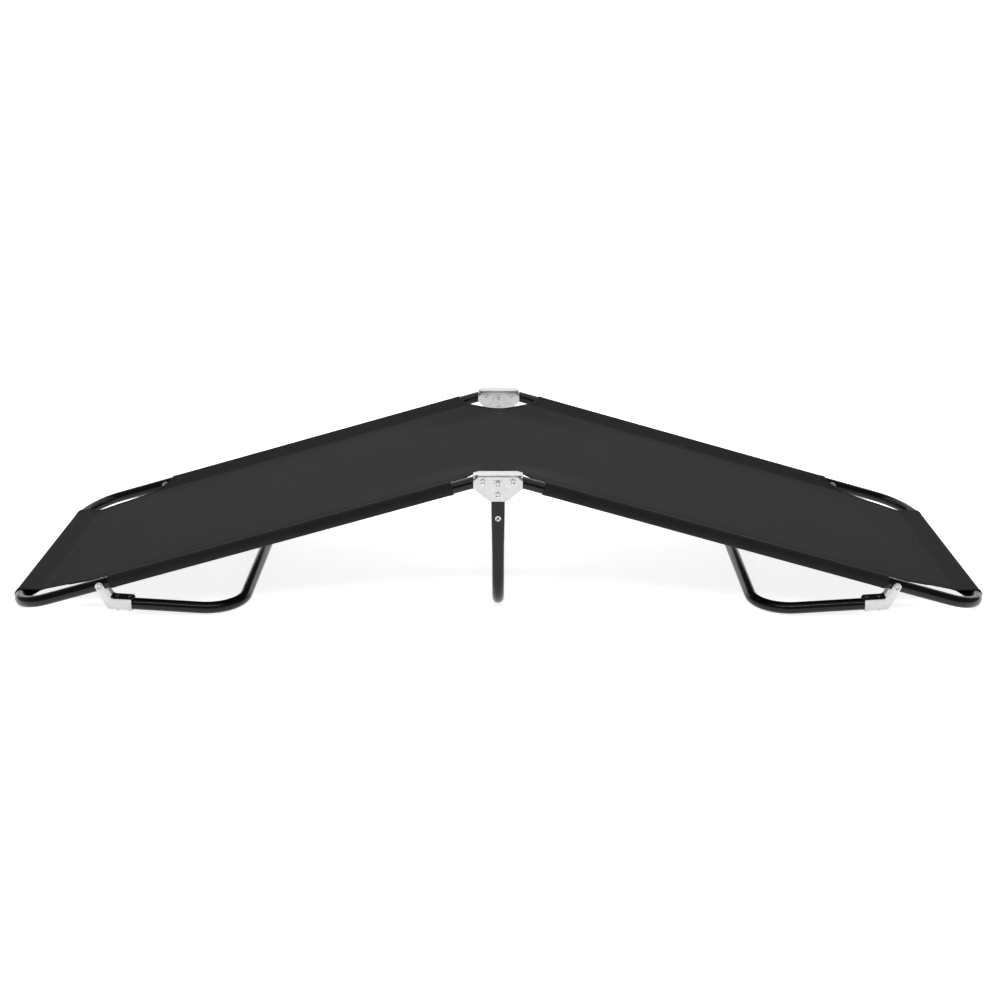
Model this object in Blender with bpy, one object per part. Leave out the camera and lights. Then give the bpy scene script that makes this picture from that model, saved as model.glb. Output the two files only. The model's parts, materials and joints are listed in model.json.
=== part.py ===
"""Folding cot: two hinged bed halves, a centre leg and two swinging end legs.

Metres, +Z up. X runs along the bed, -Y is the front side, and the cot stands on z = 0
with its origin under the middle. It is modelled half folded: the two halves slope down
from the centre hinge, and each rests on its end bar and on its partly opened end leg.

Each bed half has its own axes, an empty on its hinge pins: x runs out along the rails,
y runs across and z stands square to the bed. Each end leg has an empty on its pivot pins:
x runs along its tube to the foot bar and z points at the rail that it folds against.
"""

import math

import bmesh
import bpy
from mathutils import Vector
from mathutils.geometry import interpolate_bezier

# Steel tube
TUBE_R = 0.011
TUBE_WALL = 0.0012
HINGE_END_R = 0.0102
SIDES = 12
BEND_STEPS = 6

# Bed halves, measured from the hinge pins
HINGE_X = 0.027
HINGE_Z = 0.2664
RAIL_LENGTH = 0.912
RAIL_Y = 0.2747
CORNER_R = 0.0735

# End legs, measured from their pivot pins
LEG_PIVOT = 0.732
LEG_TUBE_DROP = 0.035
LEG_TUBE_START = 0.018
LEG_FOOT = 0.255

# Centre leg: its top is pressed flat between the cheeks of the hinge brackets
CENTRE_TOP = 0.003
CENTRE_FLAT_END = 0.038
CENTRE_ROUND_START = 0.066
CENTRE_HALF_WIDTH = 0.0125
CENTRE_HALF_DEPTH = 0.0084
LEG_RIVET_DROPS = {"upper": 0.006, "lower": 0.026}
STAY_RIVET_DROP = 0.071

# Hinge brackets: pressed from sheet, open below, over the inner ends of the rails
SHEET = 0.0015
CHEEK_Y = 0.01225
WEB_Z = 0.01225
CHEEK_BOTTOM = -0.038
CHEEK_SHOULDER = -0.013
BRACKET_HALF = 0.044
CHEEK_FOOT_HALF = 0.016
FOLD_R = 0.0035
END_FOLD_R = 0.0115
FOLD_GROWS_FROM = 0.034
PRESS_DEPTH = 0.0028
BRACKET_STATIONS = (0.0, 0.007, 0.0115, 0.016, 0.0225, 0.030, 0.037, 0.041, 0.044)
CHEEK_ROWS = 6
FOLD_STEPS = 3

# Leg brackets: a sheet bent round the leg tube, with an arm up to the rail on each side
ARM_ANGLE = math.radians(61)
ARM_HALF = 0.00775
LEG_BRACKET_END = 0.058
LEG_CHEEK_TOP = -0.022
ARM_FILLET = 0.009
PAD = (0.018, 0.062)
PAD_HALF_WIDTH = 0.0095
PAD_THICK = 0.002
PAD_RIVETS = {"inner": 0.030, "outer": 0.052}

# Rivets and their holes
PIN_R = 0.003
PIN_HEAD_R = 0.0053
SMALL_R = 0.002
SMALL_HEAD_R = 0.0038
HOLE_PLAY = 0.0005
GAP = 0.0003
MERGE = 0.000005

# Fabric: stretched level with the tubes' axes, in sleeves sewn round rails and end bars
CLOTH = 0.0010
SLEEVE_R = 0.0115
SEAM_INSET = 0.040
SEAM_OVERLAP = 0.0015
SLEEVE_STEPS = 12
SLEEVE_START = 0.050
SLEEVE_END_GAP = 0.197
END_SLEEVE_INSET = 0.0735
CLOTH_START = 0.032
HINGE_CUT_HALF = 0.083
HINGE_CUT_DEPTH = 0.076
CORNER_CUT = ((0.192, 0.0), (0.172, 0.050), (0.120, 0.062), (0.0, 0.071))
OUTLINE_STEPS = 7

# The strip of cloth over the hinge, which hangs in an arc between the two halves
CREST_Z = 0.2600
CREST_R = 0.176
CREST_HALF = 0.045
CREST_STEPS = 6

# Angles that stand the half-folded cot on level ground
SLOPE = math.asin((HINGE_Z - SLEEVE_R - CLOTH) / RAIL_LENGTH)
LEG_PIVOT_Z = HINGE_Z - LEG_PIVOT * math.sin(SLOPE)
FOOT_REACH = math.hypot(LEG_FOOT, LEG_TUBE_DROP)
LEG_TILT = math.asin((LEG_PIVOT_Z - TUBE_R) / FOOT_REACH) - math.atan2(LEG_TUBE_DROP, LEG_FOOT)
LEG_OPEN = SLOPE + LEG_TILT

X_AXIS = Vector((1, 0, 0))
Y_AXIS = Vector((0, 1, 0))
Z_AXIS = Vector((0, 0, 1))
FRONT_BACK = {"front": -1, "back": 1}


def clear_scene():
    """Empty the file."""
    for thing in list(bpy.data.objects):
        bpy.data.objects.remove(thing, do_unlink=True)


def finish(name, colour, metallic, roughness):
    """A material with one colour."""
    material = bpy.data.materials.new(name)
    material.use_nodes = True
    shader = material.node_tree.nodes["Principled BSDF"]
    shader.inputs["Base Color"].default_value = (*colour, 1)
    shader.inputs["Metallic"].default_value = metallic
    shader.inputs["Roughness"].default_value = roughness
    material.diffuse_color = (*colour, 1)
    return material


def axis_empty(name, parent, location, rotation):
    """An empty on a joint's axis, which carries the pieces that turn about it."""
    axis = bpy.data.objects.new(name, None)
    bpy.context.collection.objects.link(axis)
    axis.parent = parent
    axis.location = location
    axis.rotation_euler = rotation
    return axis


def add_piece(name, bm, material, parent=None, location=(0, 0, 0), rotation=(0, 0, 0)):
    """Turn a bmesh into a named object with one material."""
    bmesh.ops.recalc_face_normals(bm, faces=bm.faces)
    mesh = bpy.data.meshes.new(name)
    bm.to_mesh(mesh)
    bm.free()
    mesh.shade_smooth()
    mesh.set_sharp_from_angle(angle=math.radians(40))
    piece = bpy.data.objects.new(name, mesh)
    bpy.context.collection.objects.link(piece)
    if material:
        mesh.materials.append(material)
    piece.parent = parent
    piece.location = location
    piece.rotation_euler = rotation
    return piece


def region(faces):
    """Faces with their edges and corners, as the extrude operators want them."""
    edges = {edge for face in faces for edge in face.edges}
    verts = {vert for face in faces for vert in face.verts}
    return list(faces) + list(edges) + list(verts)


def only(kind, geometry):
    """The elements of one kind."""
    return [element for element in geometry if isinstance(element, kind)]


def ring(bm, centre, outward, radius, phase):
    """Corners of one round section; outward and z span its plane."""
    angles = [phase + 2 * math.pi * step / SIDES for step in range(SIDES)]
    spots = [centre + radius * (math.cos(a) * outward + math.sin(a) * Z_AXIS) for a in angles]
    return [bm.verts.new(spot) for spot in spots]


def tube_section(bm, centre, outward, outer_r, inner_r, phase):
    """The faces of a tube's cut end."""
    outer = ring(bm, centre, outward, outer_r, phase)
    inner = ring(bm, centre, outward, inner_r, phase)
    faces = []
    for here in range(SIDES):
        after = (here + 1) % SIDES
        faces.append(bm.faces.new((outer[here], outer[after], inner[after], inner[here])))
    return faces


def pull(bm, faces, offset):
    """Extrude a tube's end along a straight run."""
    moved = bmesh.ops.extrude_face_region(bm, geom=region(faces))["geom"]
    bmesh.ops.translate(bm, verts=only(bmesh.types.BMVert, moved), vec=offset)
    return only(bmesh.types.BMFace, moved)


def bend(bm, faces, centre):
    """Carry a tube's end through a quarter turn, as a tube bender does."""
    turned = bmesh.ops.spin(
        bm, geom=region(faces), cent=centre, axis=Z_AXIS, angle=-math.pi / 2,
        steps=BEND_STEPS, use_duplicate=False,
    )["geom_last"]
    return only(bmesh.types.BMFace, turned)


def u_tube(stations, bar, drop, phase):
    """A U of bent tube: two arms along x, joined by a bar across at x = bar.

    stations are the arm's sections from its open end, and phase turns the sections so
    that one long edge of the faceted tube touches the ground.
    """
    bm = bmesh.new()
    start = Vector((stations[0], RAIL_Y, -drop))
    faces = tube_section(bm, start, Y_AXIS, TUBE_R, TUBE_R - TUBE_WALL, phase)
    stops = [*stations, bar - CORNER_R]
    runs = [(after - before) * X_AXIS for before, after in zip(stops, stops[1:])]
    for run in runs:
        faces = pull(bm, faces, run)
    faces = bend(bm, faces, (bar - CORNER_R, RAIL_Y - CORNER_R, -drop))
    faces = pull(bm, faces, -2 * (RAIL_Y - CORNER_R) * Y_AXIS)
    faces = bend(bm, faces, (bar - CORNER_R, CORNER_R - RAIL_Y, -drop))
    for run in reversed(runs):
        faces = pull(bm, faces, -run)
    return bm


def add_holes(piece, name, holes):
    """Drill round holes, each given as (centre, axis, radius, length), in the piece's axes."""
    bm = bmesh.new()
    for centre, axis, radius, length in holes:
        made = bmesh.ops.create_cone(
            bm, cap_ends=True, segments=SIDES, radius1=radius, radius2=radius, depth=length
        )
        turn = Z_AXIS.rotation_difference(axis).to_matrix()
        bmesh.ops.rotate(bm, verts=made["verts"], cent=(0, 0, 0), matrix=turn)
        bmesh.ops.translate(bm, verts=made["verts"], vec=centre)
    cutter = add_piece(name, bm, None, piece.parent, piece.location, piece.rotation_euler)
    cutter.hide_render = True
    cutter.display_type = "WIRE"
    drill = piece.modifiers.new("holes", "BOOLEAN")
    drill.operation = "DIFFERENCE"
    drill.solver = "EXACT"
    drill.object = cutter


def add_rivet(name, material, parent, centre, axis, shank_r, head_r, grip):
    """A domed rivet through a stack of the given thickness, its head on the +axis side."""
    half = grip / 2 + GAP
    rise = 0.4 * head_r
    profile = (
        (0.0, half + rise),
        (0.55 * head_r, half + 0.85 * rise),
        (head_r, half),
        (shank_r, half),
        (shank_r, -half),
        (0.9 * head_r, -half),
        (0.5 * head_r, -half - 0.7 * rise),
        (0.0, -half - 0.7 * rise),
    )
    bm = bmesh.new()
    corners = [bm.verts.new((radius, 0, height)) for radius, height in profile]
    lines = [bm.edges.new(pair) for pair in zip(corners, corners[1:])]
    bmesh.ops.spin(
        bm, geom=corners + lines, cent=(0, 0, 0), axis=Z_AXIS, angle=2 * math.pi,
        steps=10, use_merge=True, use_duplicate=False,
    )
    bmesh.ops.remove_doubles(bm, verts=bm.verts, dist=1e-6)
    turn = Z_AXIS.rotation_difference(axis).to_euler()
    return add_piece(name, bm, material, parent, centre, turn)


def smooth_step(value, start, end):
    """0 before start, 1 after end, with a smooth rise between."""
    share = min(1.0, max(0.0, (value - start) / (end - start)))
    return share * share * (3 - 2 * share)


def cheek_inset(x, z):
    """How far a hinge bracket's cheek is pressed in towards the centre leg."""
    low = smooth_step(-z, 0.008, 0.024)
    outside = 0.016 + 0.014 * low
    inside = 0.007 + 0.007 * low
    across = smooth_step(-abs(x), -outside, -inside)
    down = smooth_step(-z, -0.006, 0.000)
    return PRESS_DEPTH * across * down


def cheek_bottom(x):
    """The lower edge of a hinge bracket: level in the middle, slanting up to its ends."""
    share = (BRACKET_HALF - abs(x)) / (BRACKET_HALF - CHEEK_FOOT_HALF)
    return CHEEK_SHOULDER + min(1.0, share) * (CHEEK_BOTTOM - CHEEK_SHOULDER)


def bracket_section(x):
    """The hinge bracket's half section at x, from the cheek's foot up to the web."""
    fold = FOLD_R + (END_FOLD_R - FOLD_R) * smooth_step(abs(x), FOLD_GROWS_FROM, BRACKET_HALF)
    top = WEB_Z - fold
    points = []
    for row in range(CHEEK_ROWS):
        z = cheek_bottom(x) + (top - cheek_bottom(x)) * row / CHEEK_ROWS
        points.append(Vector((x, CHEEK_Y - cheek_inset(x, z), z)))
    for step in range(FOLD_STEPS + 1):
        turn = math.pi / 2 * step / FOLD_STEPS
        y = CHEEK_Y - fold + fold * math.cos(turn)
        points.append(Vector((x, y, top + fold * math.sin(turn))))
    return points


def hinge_bracket(name, side, steel):
    """A pressed channel over two rail ends, with holes for its four rivets."""
    stations = [-x for x in reversed(BRACKET_STATIONS[1:])] + list(BRACKET_STATIONS)
    bm = bmesh.new()
    rows = []
    for x in stations:
        half = bracket_section(x)
        other = [Vector((point.x, -point.y, point.z)) for point in reversed(half)]
        rows.append([bm.verts.new(point) for point in half + other])
    for row, after in zip(rows, rows[1:]):
        for a, b, c, d in zip(row, row[1:], after[1:], after):
            bm.faces.new((a, b, c, d))
    location = (0, side * RAIL_Y, HINGE_Z)
    bracket = add_piece(name, bm, steel, None, location)
    wall = bracket.modifiers.new("sheet", "SOLIDIFY")
    wall.thickness = SHEET
    wall.offset = 0
    holes = [(Vector((x, 0, 0)), Y_AXIS, PIN_R + HOLE_PLAY, 0.04) for x in (-HINGE_X, HINGE_X)]
    for drop in LEG_RIVET_DROPS.values():
        holes.append((Vector((0, 0, -drop)), Y_AXIS, PIN_R + HOLE_PLAY, 0.04))
    add_holes(bracket, name + "_drill", holes)
    return bracket


def centre_leg(paint):
    """The centre leg: a U hanging from the brackets, its tops pressed flat."""
    stations = (-CENTRE_TOP, CENTRE_FLAT_END, CENTRE_ROUND_START)
    bm = u_tube(stations, HINGE_Z - TUBE_R, 0.0, 0.0)
    for vert in bm.verts:
        if vert.co.x < CENTRE_FLAT_END + GAP:
            side = math.copysign(RAIL_Y, vert.co.y)
            vert.co.y = side + (vert.co.y - side) * CENTRE_HALF_DEPTH / TUBE_R
            vert.co.z *= CENTRE_HALF_WIDTH / TUBE_R
    leg = add_piece("centre_leg", bm, paint, None, (0, 0, HINGE_Z), (0, math.pi / 2, 0))
    across = 2 * (RAIL_Y + CORNER_R)
    holes = [
        (Vector((drop, 0, 0)), Y_AXIS, PIN_R + HOLE_PLAY, across)
        for drop in (*LEG_RIVET_DROPS.values(), STAY_RIVET_DROP)
    ]
    add_holes(leg, "centre_leg_drill", holes)


def add_hinge_rivets(steel):
    """Rivets in the hinge brackets and on the centre leg, with their heads outwards."""
    for place, side in FRONT_BACK.items():
        outwards = side * Y_AXIS
        for hand, x in {"left": -HINGE_X, "right": HINGE_X}.items():
            spot = (x, side * RAIL_Y, HINGE_Z)
            name = f"hinge_rivet_{hand}_{place}"
            grip = 2 * CHEEK_Y + SHEET
            add_rivet(name, steel, None, spot, outwards, PIN_R, PIN_HEAD_R, grip)
        for level, drop in LEG_RIVET_DROPS.items():
            spot = (0, side * RAIL_Y, HINGE_Z - drop)
            name = f"leg_rivet_{level}_{place}"
            grip = 2 * (CHEEK_Y - PRESS_DEPTH) + SHEET
            add_rivet(name, steel, None, spot, outwards, PIN_R, PIN_HEAD_R, grip)
        spot = (0, side * RAIL_Y, HINGE_Z - STAY_RIVET_DROP)
        add_rivet(f"stay_rivet_{place}", steel, None, spot, outwards, PIN_R, PIN_HEAD_R, 2 * TUBE_R)


def frame_tube(hand, axis, paint):
    """One bed half's U of tube, its open ends rounded to turn under the hinge bracket."""
    bm = u_tube((0.0,), RAIL_LENGTH, 0.0, SLOPE - math.pi / 2)
    for vert in bm.verts:
        if vert.co.x < GAP:
            vert.co.x = -math.sqrt(max(0.0, HINGE_END_R ** 2 - vert.co.z ** 2))
    name = f"{hand}_frame_tube"
    tube = add_piece(name, bm, paint, axis)
    across = 2 * (RAIL_Y + CORNER_R)
    holes = [(Vector((x, 0, 0)), Y_AXIS, PIN_R + HOLE_PLAY, across) for x in (0.0, LEG_PIVOT)]
    add_holes(tube, name + "_drill", holes)


def cloth_outline():
    """Corners of one half's cloth on its +y side, from the hinge cut to the end bar."""
    seam_y = RAIL_Y - SEAM_INSET + SEAM_OVERLAP
    first = math.asin((HINGE_X + CLOTH_START) / HINGE_CUT_HALF)
    points = []
    for step in range(OUTLINE_STEPS + 1):
        turn = first + (math.pi / 2 - first) * step / OUTLINE_STEPS
        s = HINGE_CUT_HALF * math.sin(turn) - HINGE_X
        points.append((s, min(seam_y, RAIL_Y - HINGE_CUT_DEPTH * math.cos(turn))))
    knots = [Vector((RAIL_LENGTH - back, RAIL_Y - inset, 0)) for back, inset in CORNER_CUT]
    for point in interpolate_bezier(*knots, 2 * OUTLINE_STEPS):
        end_seam = RAIL_LENGTH - SEAM_INSET + SEAM_OVERLAP
        points.append((min(point.x, end_seam), min(seam_y, point.y)))
    return points


def loop_section(bm, centre, outward, radius, tip):
    """Corners of one drop-shaped section, its tip inwards where the sleeve is sewn."""
    back = math.pi - math.acos(radius / tip)
    angles = [back * (2 * step / SLEEVE_STEPS - 1) for step in range(SLEEVE_STEPS + 1)]
    spots = [centre + radius * (math.cos(a) * outward + math.sin(a) * Z_AXIS) for a in angles]
    spots.append(centre - tip * outward)
    return [bm.verts.new(spot) for spot in spots]


def sleeve(name, axis, start, run, outward):
    """A drop-shaped sleeve of cloth, as a guide shape that is joined to the flat cloth."""
    wall_tip = CLOTH * SEAM_INSET / (SLEEVE_R + CLOTH)
    bm = bmesh.new()
    outer = loop_section(bm, start, outward, SLEEVE_R + CLOTH, SEAM_INSET)
    inner = loop_section(bm, start, outward, SLEEVE_R, SEAM_INSET - wall_tip)
    faces = []
    for here in range(len(outer)):
        after = (here + 1) % len(outer)
        faces.append(bm.faces.new((outer[here], outer[after], inner[after], inner[here])))
    pull(bm, faces, run)
    shape = add_piece(name, bm, None, axis)
    shape.hide_render = True
    shape.display_type = "WIRE"
    return shape


def fabric_half(hand, axis, cloth):
    """One half's cloth: a flat sheet with sleeves round both rails and the end bar."""
    half = cloth_outline()
    outline = half + [(x, -y) for x, y in reversed(half)]
    bm = bmesh.new()
    face = bm.faces.new([bm.verts.new((x, y, -CLOTH / 2)) for x, y in outline])
    pull(bm, [face], CLOTH * Z_AXIS)
    bmesh.ops.remove_doubles(bm, verts=bm.verts, dist=MERGE)
    name = f"{hand}_fabric"
    fabric = add_piece(name, bm, cloth, axis)
    run = (RAIL_LENGTH - SLEEVE_END_GAP - SLEEVE_START) * X_AXIS
    bar_half = RAIL_Y - END_SLEEVE_INSET
    shapes = {
        "front": (Vector((SLEEVE_START, -RAIL_Y, 0)), run, -Y_AXIS),
        "back": (Vector((SLEEVE_START, RAIL_Y, 0)), run, Y_AXIS),
        "end": (Vector((RAIL_LENGTH, -bar_half, 0)), 2 * bar_half * Y_AXIS, X_AXIS),
    }
    for place, (start, length, outward) in shapes.items():
        seam = fabric.modifiers.new(place, "BOOLEAN")
        seam.operation = "UNION"
        seam.solver = "EXACT"
        seam.object = sleeve(f"{name}_{place}_sleeve", axis, start, length, outward)


def fabric_centre(cloth):
    """The strip of cloth over the hinge, between the two halves."""
    bm = bmesh.new()
    half_y = RAIL_Y - HINGE_CUT_DEPTH
    widest = math.asin(CREST_HALF / CREST_R)
    rows = []
    for step in range(CREST_STEPS + 1):
        turn = widest * (2 * step / CREST_STEPS - 1)
        upper = CREST_R * Vector((math.sin(turn), 0, math.cos(turn)))
        lower = upper * (CREST_R - CLOTH) / CREST_R
        corners = (upper + half_y * Y_AXIS, upper - half_y * Y_AXIS,
                   lower - half_y * Y_AXIS, lower + half_y * Y_AXIS)
        rows.append([bm.verts.new(corner) for corner in corners])
    bm.faces.new(rows[0])
    bm.faces.new(rows[-1])
    for row, after in zip(rows, rows[1:]):
        for here in range(4):
            there = (here + 1) % 4
            bm.faces.new((row[here], row[there], after[there], after[here]))
    add_piece("fabric_centre", bm, cloth, None, (0, 0, CREST_Z - CREST_R))


def arm_outline():
    """The leg bracket's cheek in the leg's x and z, with the edge along the tube first."""
    along = Vector((math.cos(ARM_ANGLE), 0, -math.sin(ARM_ANGLE)))
    square = Vector((math.sin(ARM_ANGLE), 0, math.cos(ARM_ANGLE)))
    near = ARM_HALF * square
    corner = near + along * (near.z - LEG_CHEEK_TOP) / -along.z
    far = -ARM_HALF * square
    heel = far + along * (far.z + LEG_TUBE_DROP) / -along.z
    clip = PAD_THICK
    points = [
        heel,
        Vector((LEG_BRACKET_END, 0, -LEG_TUBE_DROP)),
        Vector((LEG_BRACKET_END, 0, LEG_CHEEK_TOP - clip)),
        Vector((LEG_BRACKET_END - clip, 0, LEG_CHEEK_TOP)),
    ]
    begin = corner + ARM_FILLET * X_AXIS
    end = corner - ARM_FILLET * along
    points += interpolate_bezier(begin, corner, corner, end, 5)
    for step in range(9):
        turn = math.pi / 2 - ARM_ANGLE + math.pi * step / 8
        points.append(ARM_HALF * Vector((math.cos(turn), 0, math.sin(turn))))
    return points


def leg_bracket(name, axis, side, steel):
    """A sheet bent round the leg tube, with two arms up to the rail's pivot pin."""
    outline = arm_outline()
    bm = bmesh.new()
    near = [bm.verts.new(point + CHEEK_Y * Y_AXIS) for point in outline]
    bm.faces.new(near)
    lip = bm.edges.get((near[0], near[1]))
    wrapped = bmesh.ops.spin(
        bm, geom=[lip, near[0], near[1]], cent=(0, 0, -LEG_TUBE_DROP), axis=X_AXIS,
        angle=-math.pi, steps=8, use_duplicate=False,
    )["geom_last"]
    last = sorted(only(bmesh.types.BMVert, wrapped), key=lambda vert: vert.co.x)
    far = last + [bm.verts.new(point - CHEEK_Y * Y_AXIS) for point in outline[2:]]
    bm.faces.new(far)
    slant = 1 / math.tan(ARM_ANGLE)
    for vert in bm.verts:
        depth = -LEG_TUBE_DROP - vert.co.z
        if depth > 0 and vert.co.x < PAD[0]:
            vert.co.x += slant * depth
    bracket = add_piece(name, bm, steel, axis, (0, side * RAIL_Y, 0))
    wall = bracket.modifiers.new("sheet", "SOLIDIFY")
    wall.thickness = SHEET
    wall.offset = 0
    wall.use_even_offset = True
    holes = [(Vector((0, 0, 0)), Y_AXIS, PIN_R + HOLE_PLAY, 0.04)]
    bottom = -LEG_TUBE_DROP - CHEEK_Y
    for x in PAD_RIVETS.values():
        holes.append((Vector((x, 0, bottom)), Z_AXIS, SMALL_R + HOLE_PLAY, 0.012))
    add_holes(bracket, name + "_drill", holes)


def leg_pad(name, axis, side, rubber):
    """A strip on top of the leg tube that meets the rail when the leg is folded away."""
    start, end = PAD
    bm = bmesh.new()
    outline = [Vector((start, PAD_HALF_WIDTH, 0)), Vector((start, -PAD_HALF_WIDTH, 0))]
    for step in range(7):
        turn = math.pi * (step / 6 - 0.5)
        x = end - PAD_HALF_WIDTH / 2 + PAD_HALF_WIDTH / 2 * math.cos(turn)
        outline.append(Vector((x, PAD_HALF_WIDTH * math.sin(turn), 0)))
    face = bm.faces.new([bm.verts.new(point) for point in outline])
    pull(bm, [face], PAD_THICK * Z_AXIS)
    bottom = TUBE_R - LEG_TUBE_DROP + GAP
    pad = add_piece(name, bm, rubber, axis, (0, side * RAIL_Y, bottom))
    holes = [(Vector((x, 0, 0)), Z_AXIS, SMALL_R + HOLE_PLAY, 0.012) for x in PAD_RIVETS.values()]
    add_holes(pad, name + "_drill", holes)


def end_leg(hand, axis, paint, steel, rubber):
    """One end leg: its tube, and at each side a bracket, a pad and three rivets."""
    stations = (LEG_TUBE_START,)
    bm = u_tube(stations, LEG_FOOT, LEG_TUBE_DROP, LEG_TILT - math.pi / 2)
    name = f"{hand}_leg_tube"
    tube = add_piece(name, bm, paint, axis)
    holes = []
    for side in FRONT_BACK.values():
        for x in PAD_RIVETS.values():
            spot = Vector((x, side * RAIL_Y, -LEG_TUBE_DROP))
            holes.append((spot, Z_AXIS, SMALL_R + HOLE_PLAY, 0.04))
    add_holes(tube, name + "_drill", holes)
    pad_top = TUBE_R - LEG_TUBE_DROP + GAP + PAD_THICK
    wrap_bottom = -LEG_TUBE_DROP - CHEEK_Y - SHEET / 2
    for place, turned_side in FRONT_BACK.items():
        side = -turned_side if hand == "right" else turned_side
        leg_bracket(f"{hand}_leg_bracket_{place}", axis, side, steel)
        leg_pad(f"{hand}_leg_pad_{place}", axis, side, rubber)
        pin = f"{hand}_leg_pivot_{place}"
        spot = (0, side * RAIL_Y, 0)
        add_rivet(pin, steel, axis, spot, side * Y_AXIS, PIN_R, PIN_HEAD_R, 2 * CHEEK_Y + SHEET)
        for end, x in PAD_RIVETS.items():
            spot = (x, side * RAIL_Y, (pad_top + wrap_bottom) / 2)
            name = f"{hand}_pad_rivet_{end}_{place}"
            grip = pad_top - wrap_bottom
            add_rivet(name, steel, axis, spot, Z_AXIS, SMALL_R, SMALL_HEAD_R, grip)


def main():
    """Build the cot."""
    clear_scene()
    paint = finish("black_enamel", (0.012, 0.012, 0.013), 0.0, 0.22)
    steel = finish("zinc_steel", (0.66, 0.66, 0.67), 1.0, 0.34)
    cloth = finish("woven_polyester", (0.034, 0.034, 0.036), 0.0, 0.88)
    rubber = finish("black_rubber", (0.016, 0.016, 0.017), 0.0, 0.60)
    for place, side in FRONT_BACK.items():
        hinge_bracket(f"hinge_bracket_{place}", side, steel)
    centre_leg(paint)
    add_hinge_rivets(steel)
    fabric_centre(cloth)
    for hand, side, turn in (("left", -1, math.pi), ("right", 1, 0.0)):
        hinge = (side * HINGE_X, 0, HINGE_Z)
        half_axis = axis_empty(f"{hand}_fold_axis", None, hinge, (0, SLOPE, turn))
        frame_tube(hand, half_axis, paint)
        fabric_half(hand, half_axis, cloth)
        leg_pin = (LEG_PIVOT, 0, 0)
        leg_axis = axis_empty(f"{hand}_leg_axis", half_axis, leg_pin, (0, LEG_OPEN, math.pi))
        end_leg(hand, leg_axis, paint, steel, rubber)


main()
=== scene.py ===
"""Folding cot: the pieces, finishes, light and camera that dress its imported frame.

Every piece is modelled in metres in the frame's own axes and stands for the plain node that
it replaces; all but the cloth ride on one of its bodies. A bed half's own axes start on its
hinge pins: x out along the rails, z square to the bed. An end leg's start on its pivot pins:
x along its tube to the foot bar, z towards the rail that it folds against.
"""

import json
import logging
import math
from collections.abc import Callable
from dataclasses import dataclass, field
from enum import Enum

import bmesh
import bpy
import numpy as np
from mathutils import Matrix, Vector
from mathutils.geometry import interpolate_bezier


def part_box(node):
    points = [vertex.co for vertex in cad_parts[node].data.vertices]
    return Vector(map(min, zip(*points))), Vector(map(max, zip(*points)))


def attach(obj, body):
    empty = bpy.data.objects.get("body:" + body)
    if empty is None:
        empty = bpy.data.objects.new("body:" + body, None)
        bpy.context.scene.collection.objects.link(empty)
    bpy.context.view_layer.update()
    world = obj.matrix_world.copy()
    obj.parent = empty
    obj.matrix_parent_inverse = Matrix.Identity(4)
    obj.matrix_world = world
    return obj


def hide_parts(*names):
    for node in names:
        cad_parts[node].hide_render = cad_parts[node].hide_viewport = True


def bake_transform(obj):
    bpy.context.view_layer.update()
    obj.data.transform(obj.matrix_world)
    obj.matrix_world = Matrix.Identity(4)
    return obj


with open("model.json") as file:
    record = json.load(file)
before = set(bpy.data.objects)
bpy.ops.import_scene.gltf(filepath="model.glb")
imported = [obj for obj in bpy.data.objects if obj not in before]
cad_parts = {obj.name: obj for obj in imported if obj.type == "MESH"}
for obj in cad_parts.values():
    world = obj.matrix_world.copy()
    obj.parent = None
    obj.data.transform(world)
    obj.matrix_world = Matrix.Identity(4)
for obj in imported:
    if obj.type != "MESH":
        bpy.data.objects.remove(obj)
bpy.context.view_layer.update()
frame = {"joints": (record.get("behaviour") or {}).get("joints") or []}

LOG = logging.getLogger("cot")
MM = 0.001
SHARP = math.radians(34)
X_AXIS = Vector((1, 0, 0))
Y_AXIS = Vector((0, 1, 0))
Z_AXIS = Vector((0, 0, 1))


class Hand(Enum):
    """The two halves of the cot, by the side of the middle that they lie on."""

    LEFT = -1
    RIGHT = 1

    @property
    def label(self) -> str:
        """The word that names of pieces start with."""
        return self.name.lower()


class Place(Enum):
    """The two long sides of the cot."""

    FRONT = -1
    BACK = 1

    @property
    def label(self) -> str:
        """The word that names of pieces end with."""
        return self.name.lower()


class Element(Enum):
    """What a selection picks in edit mode, with the select mode that goes with it."""

    EDGES = (False, True, False)
    FACES = (False, False, True)


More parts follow.
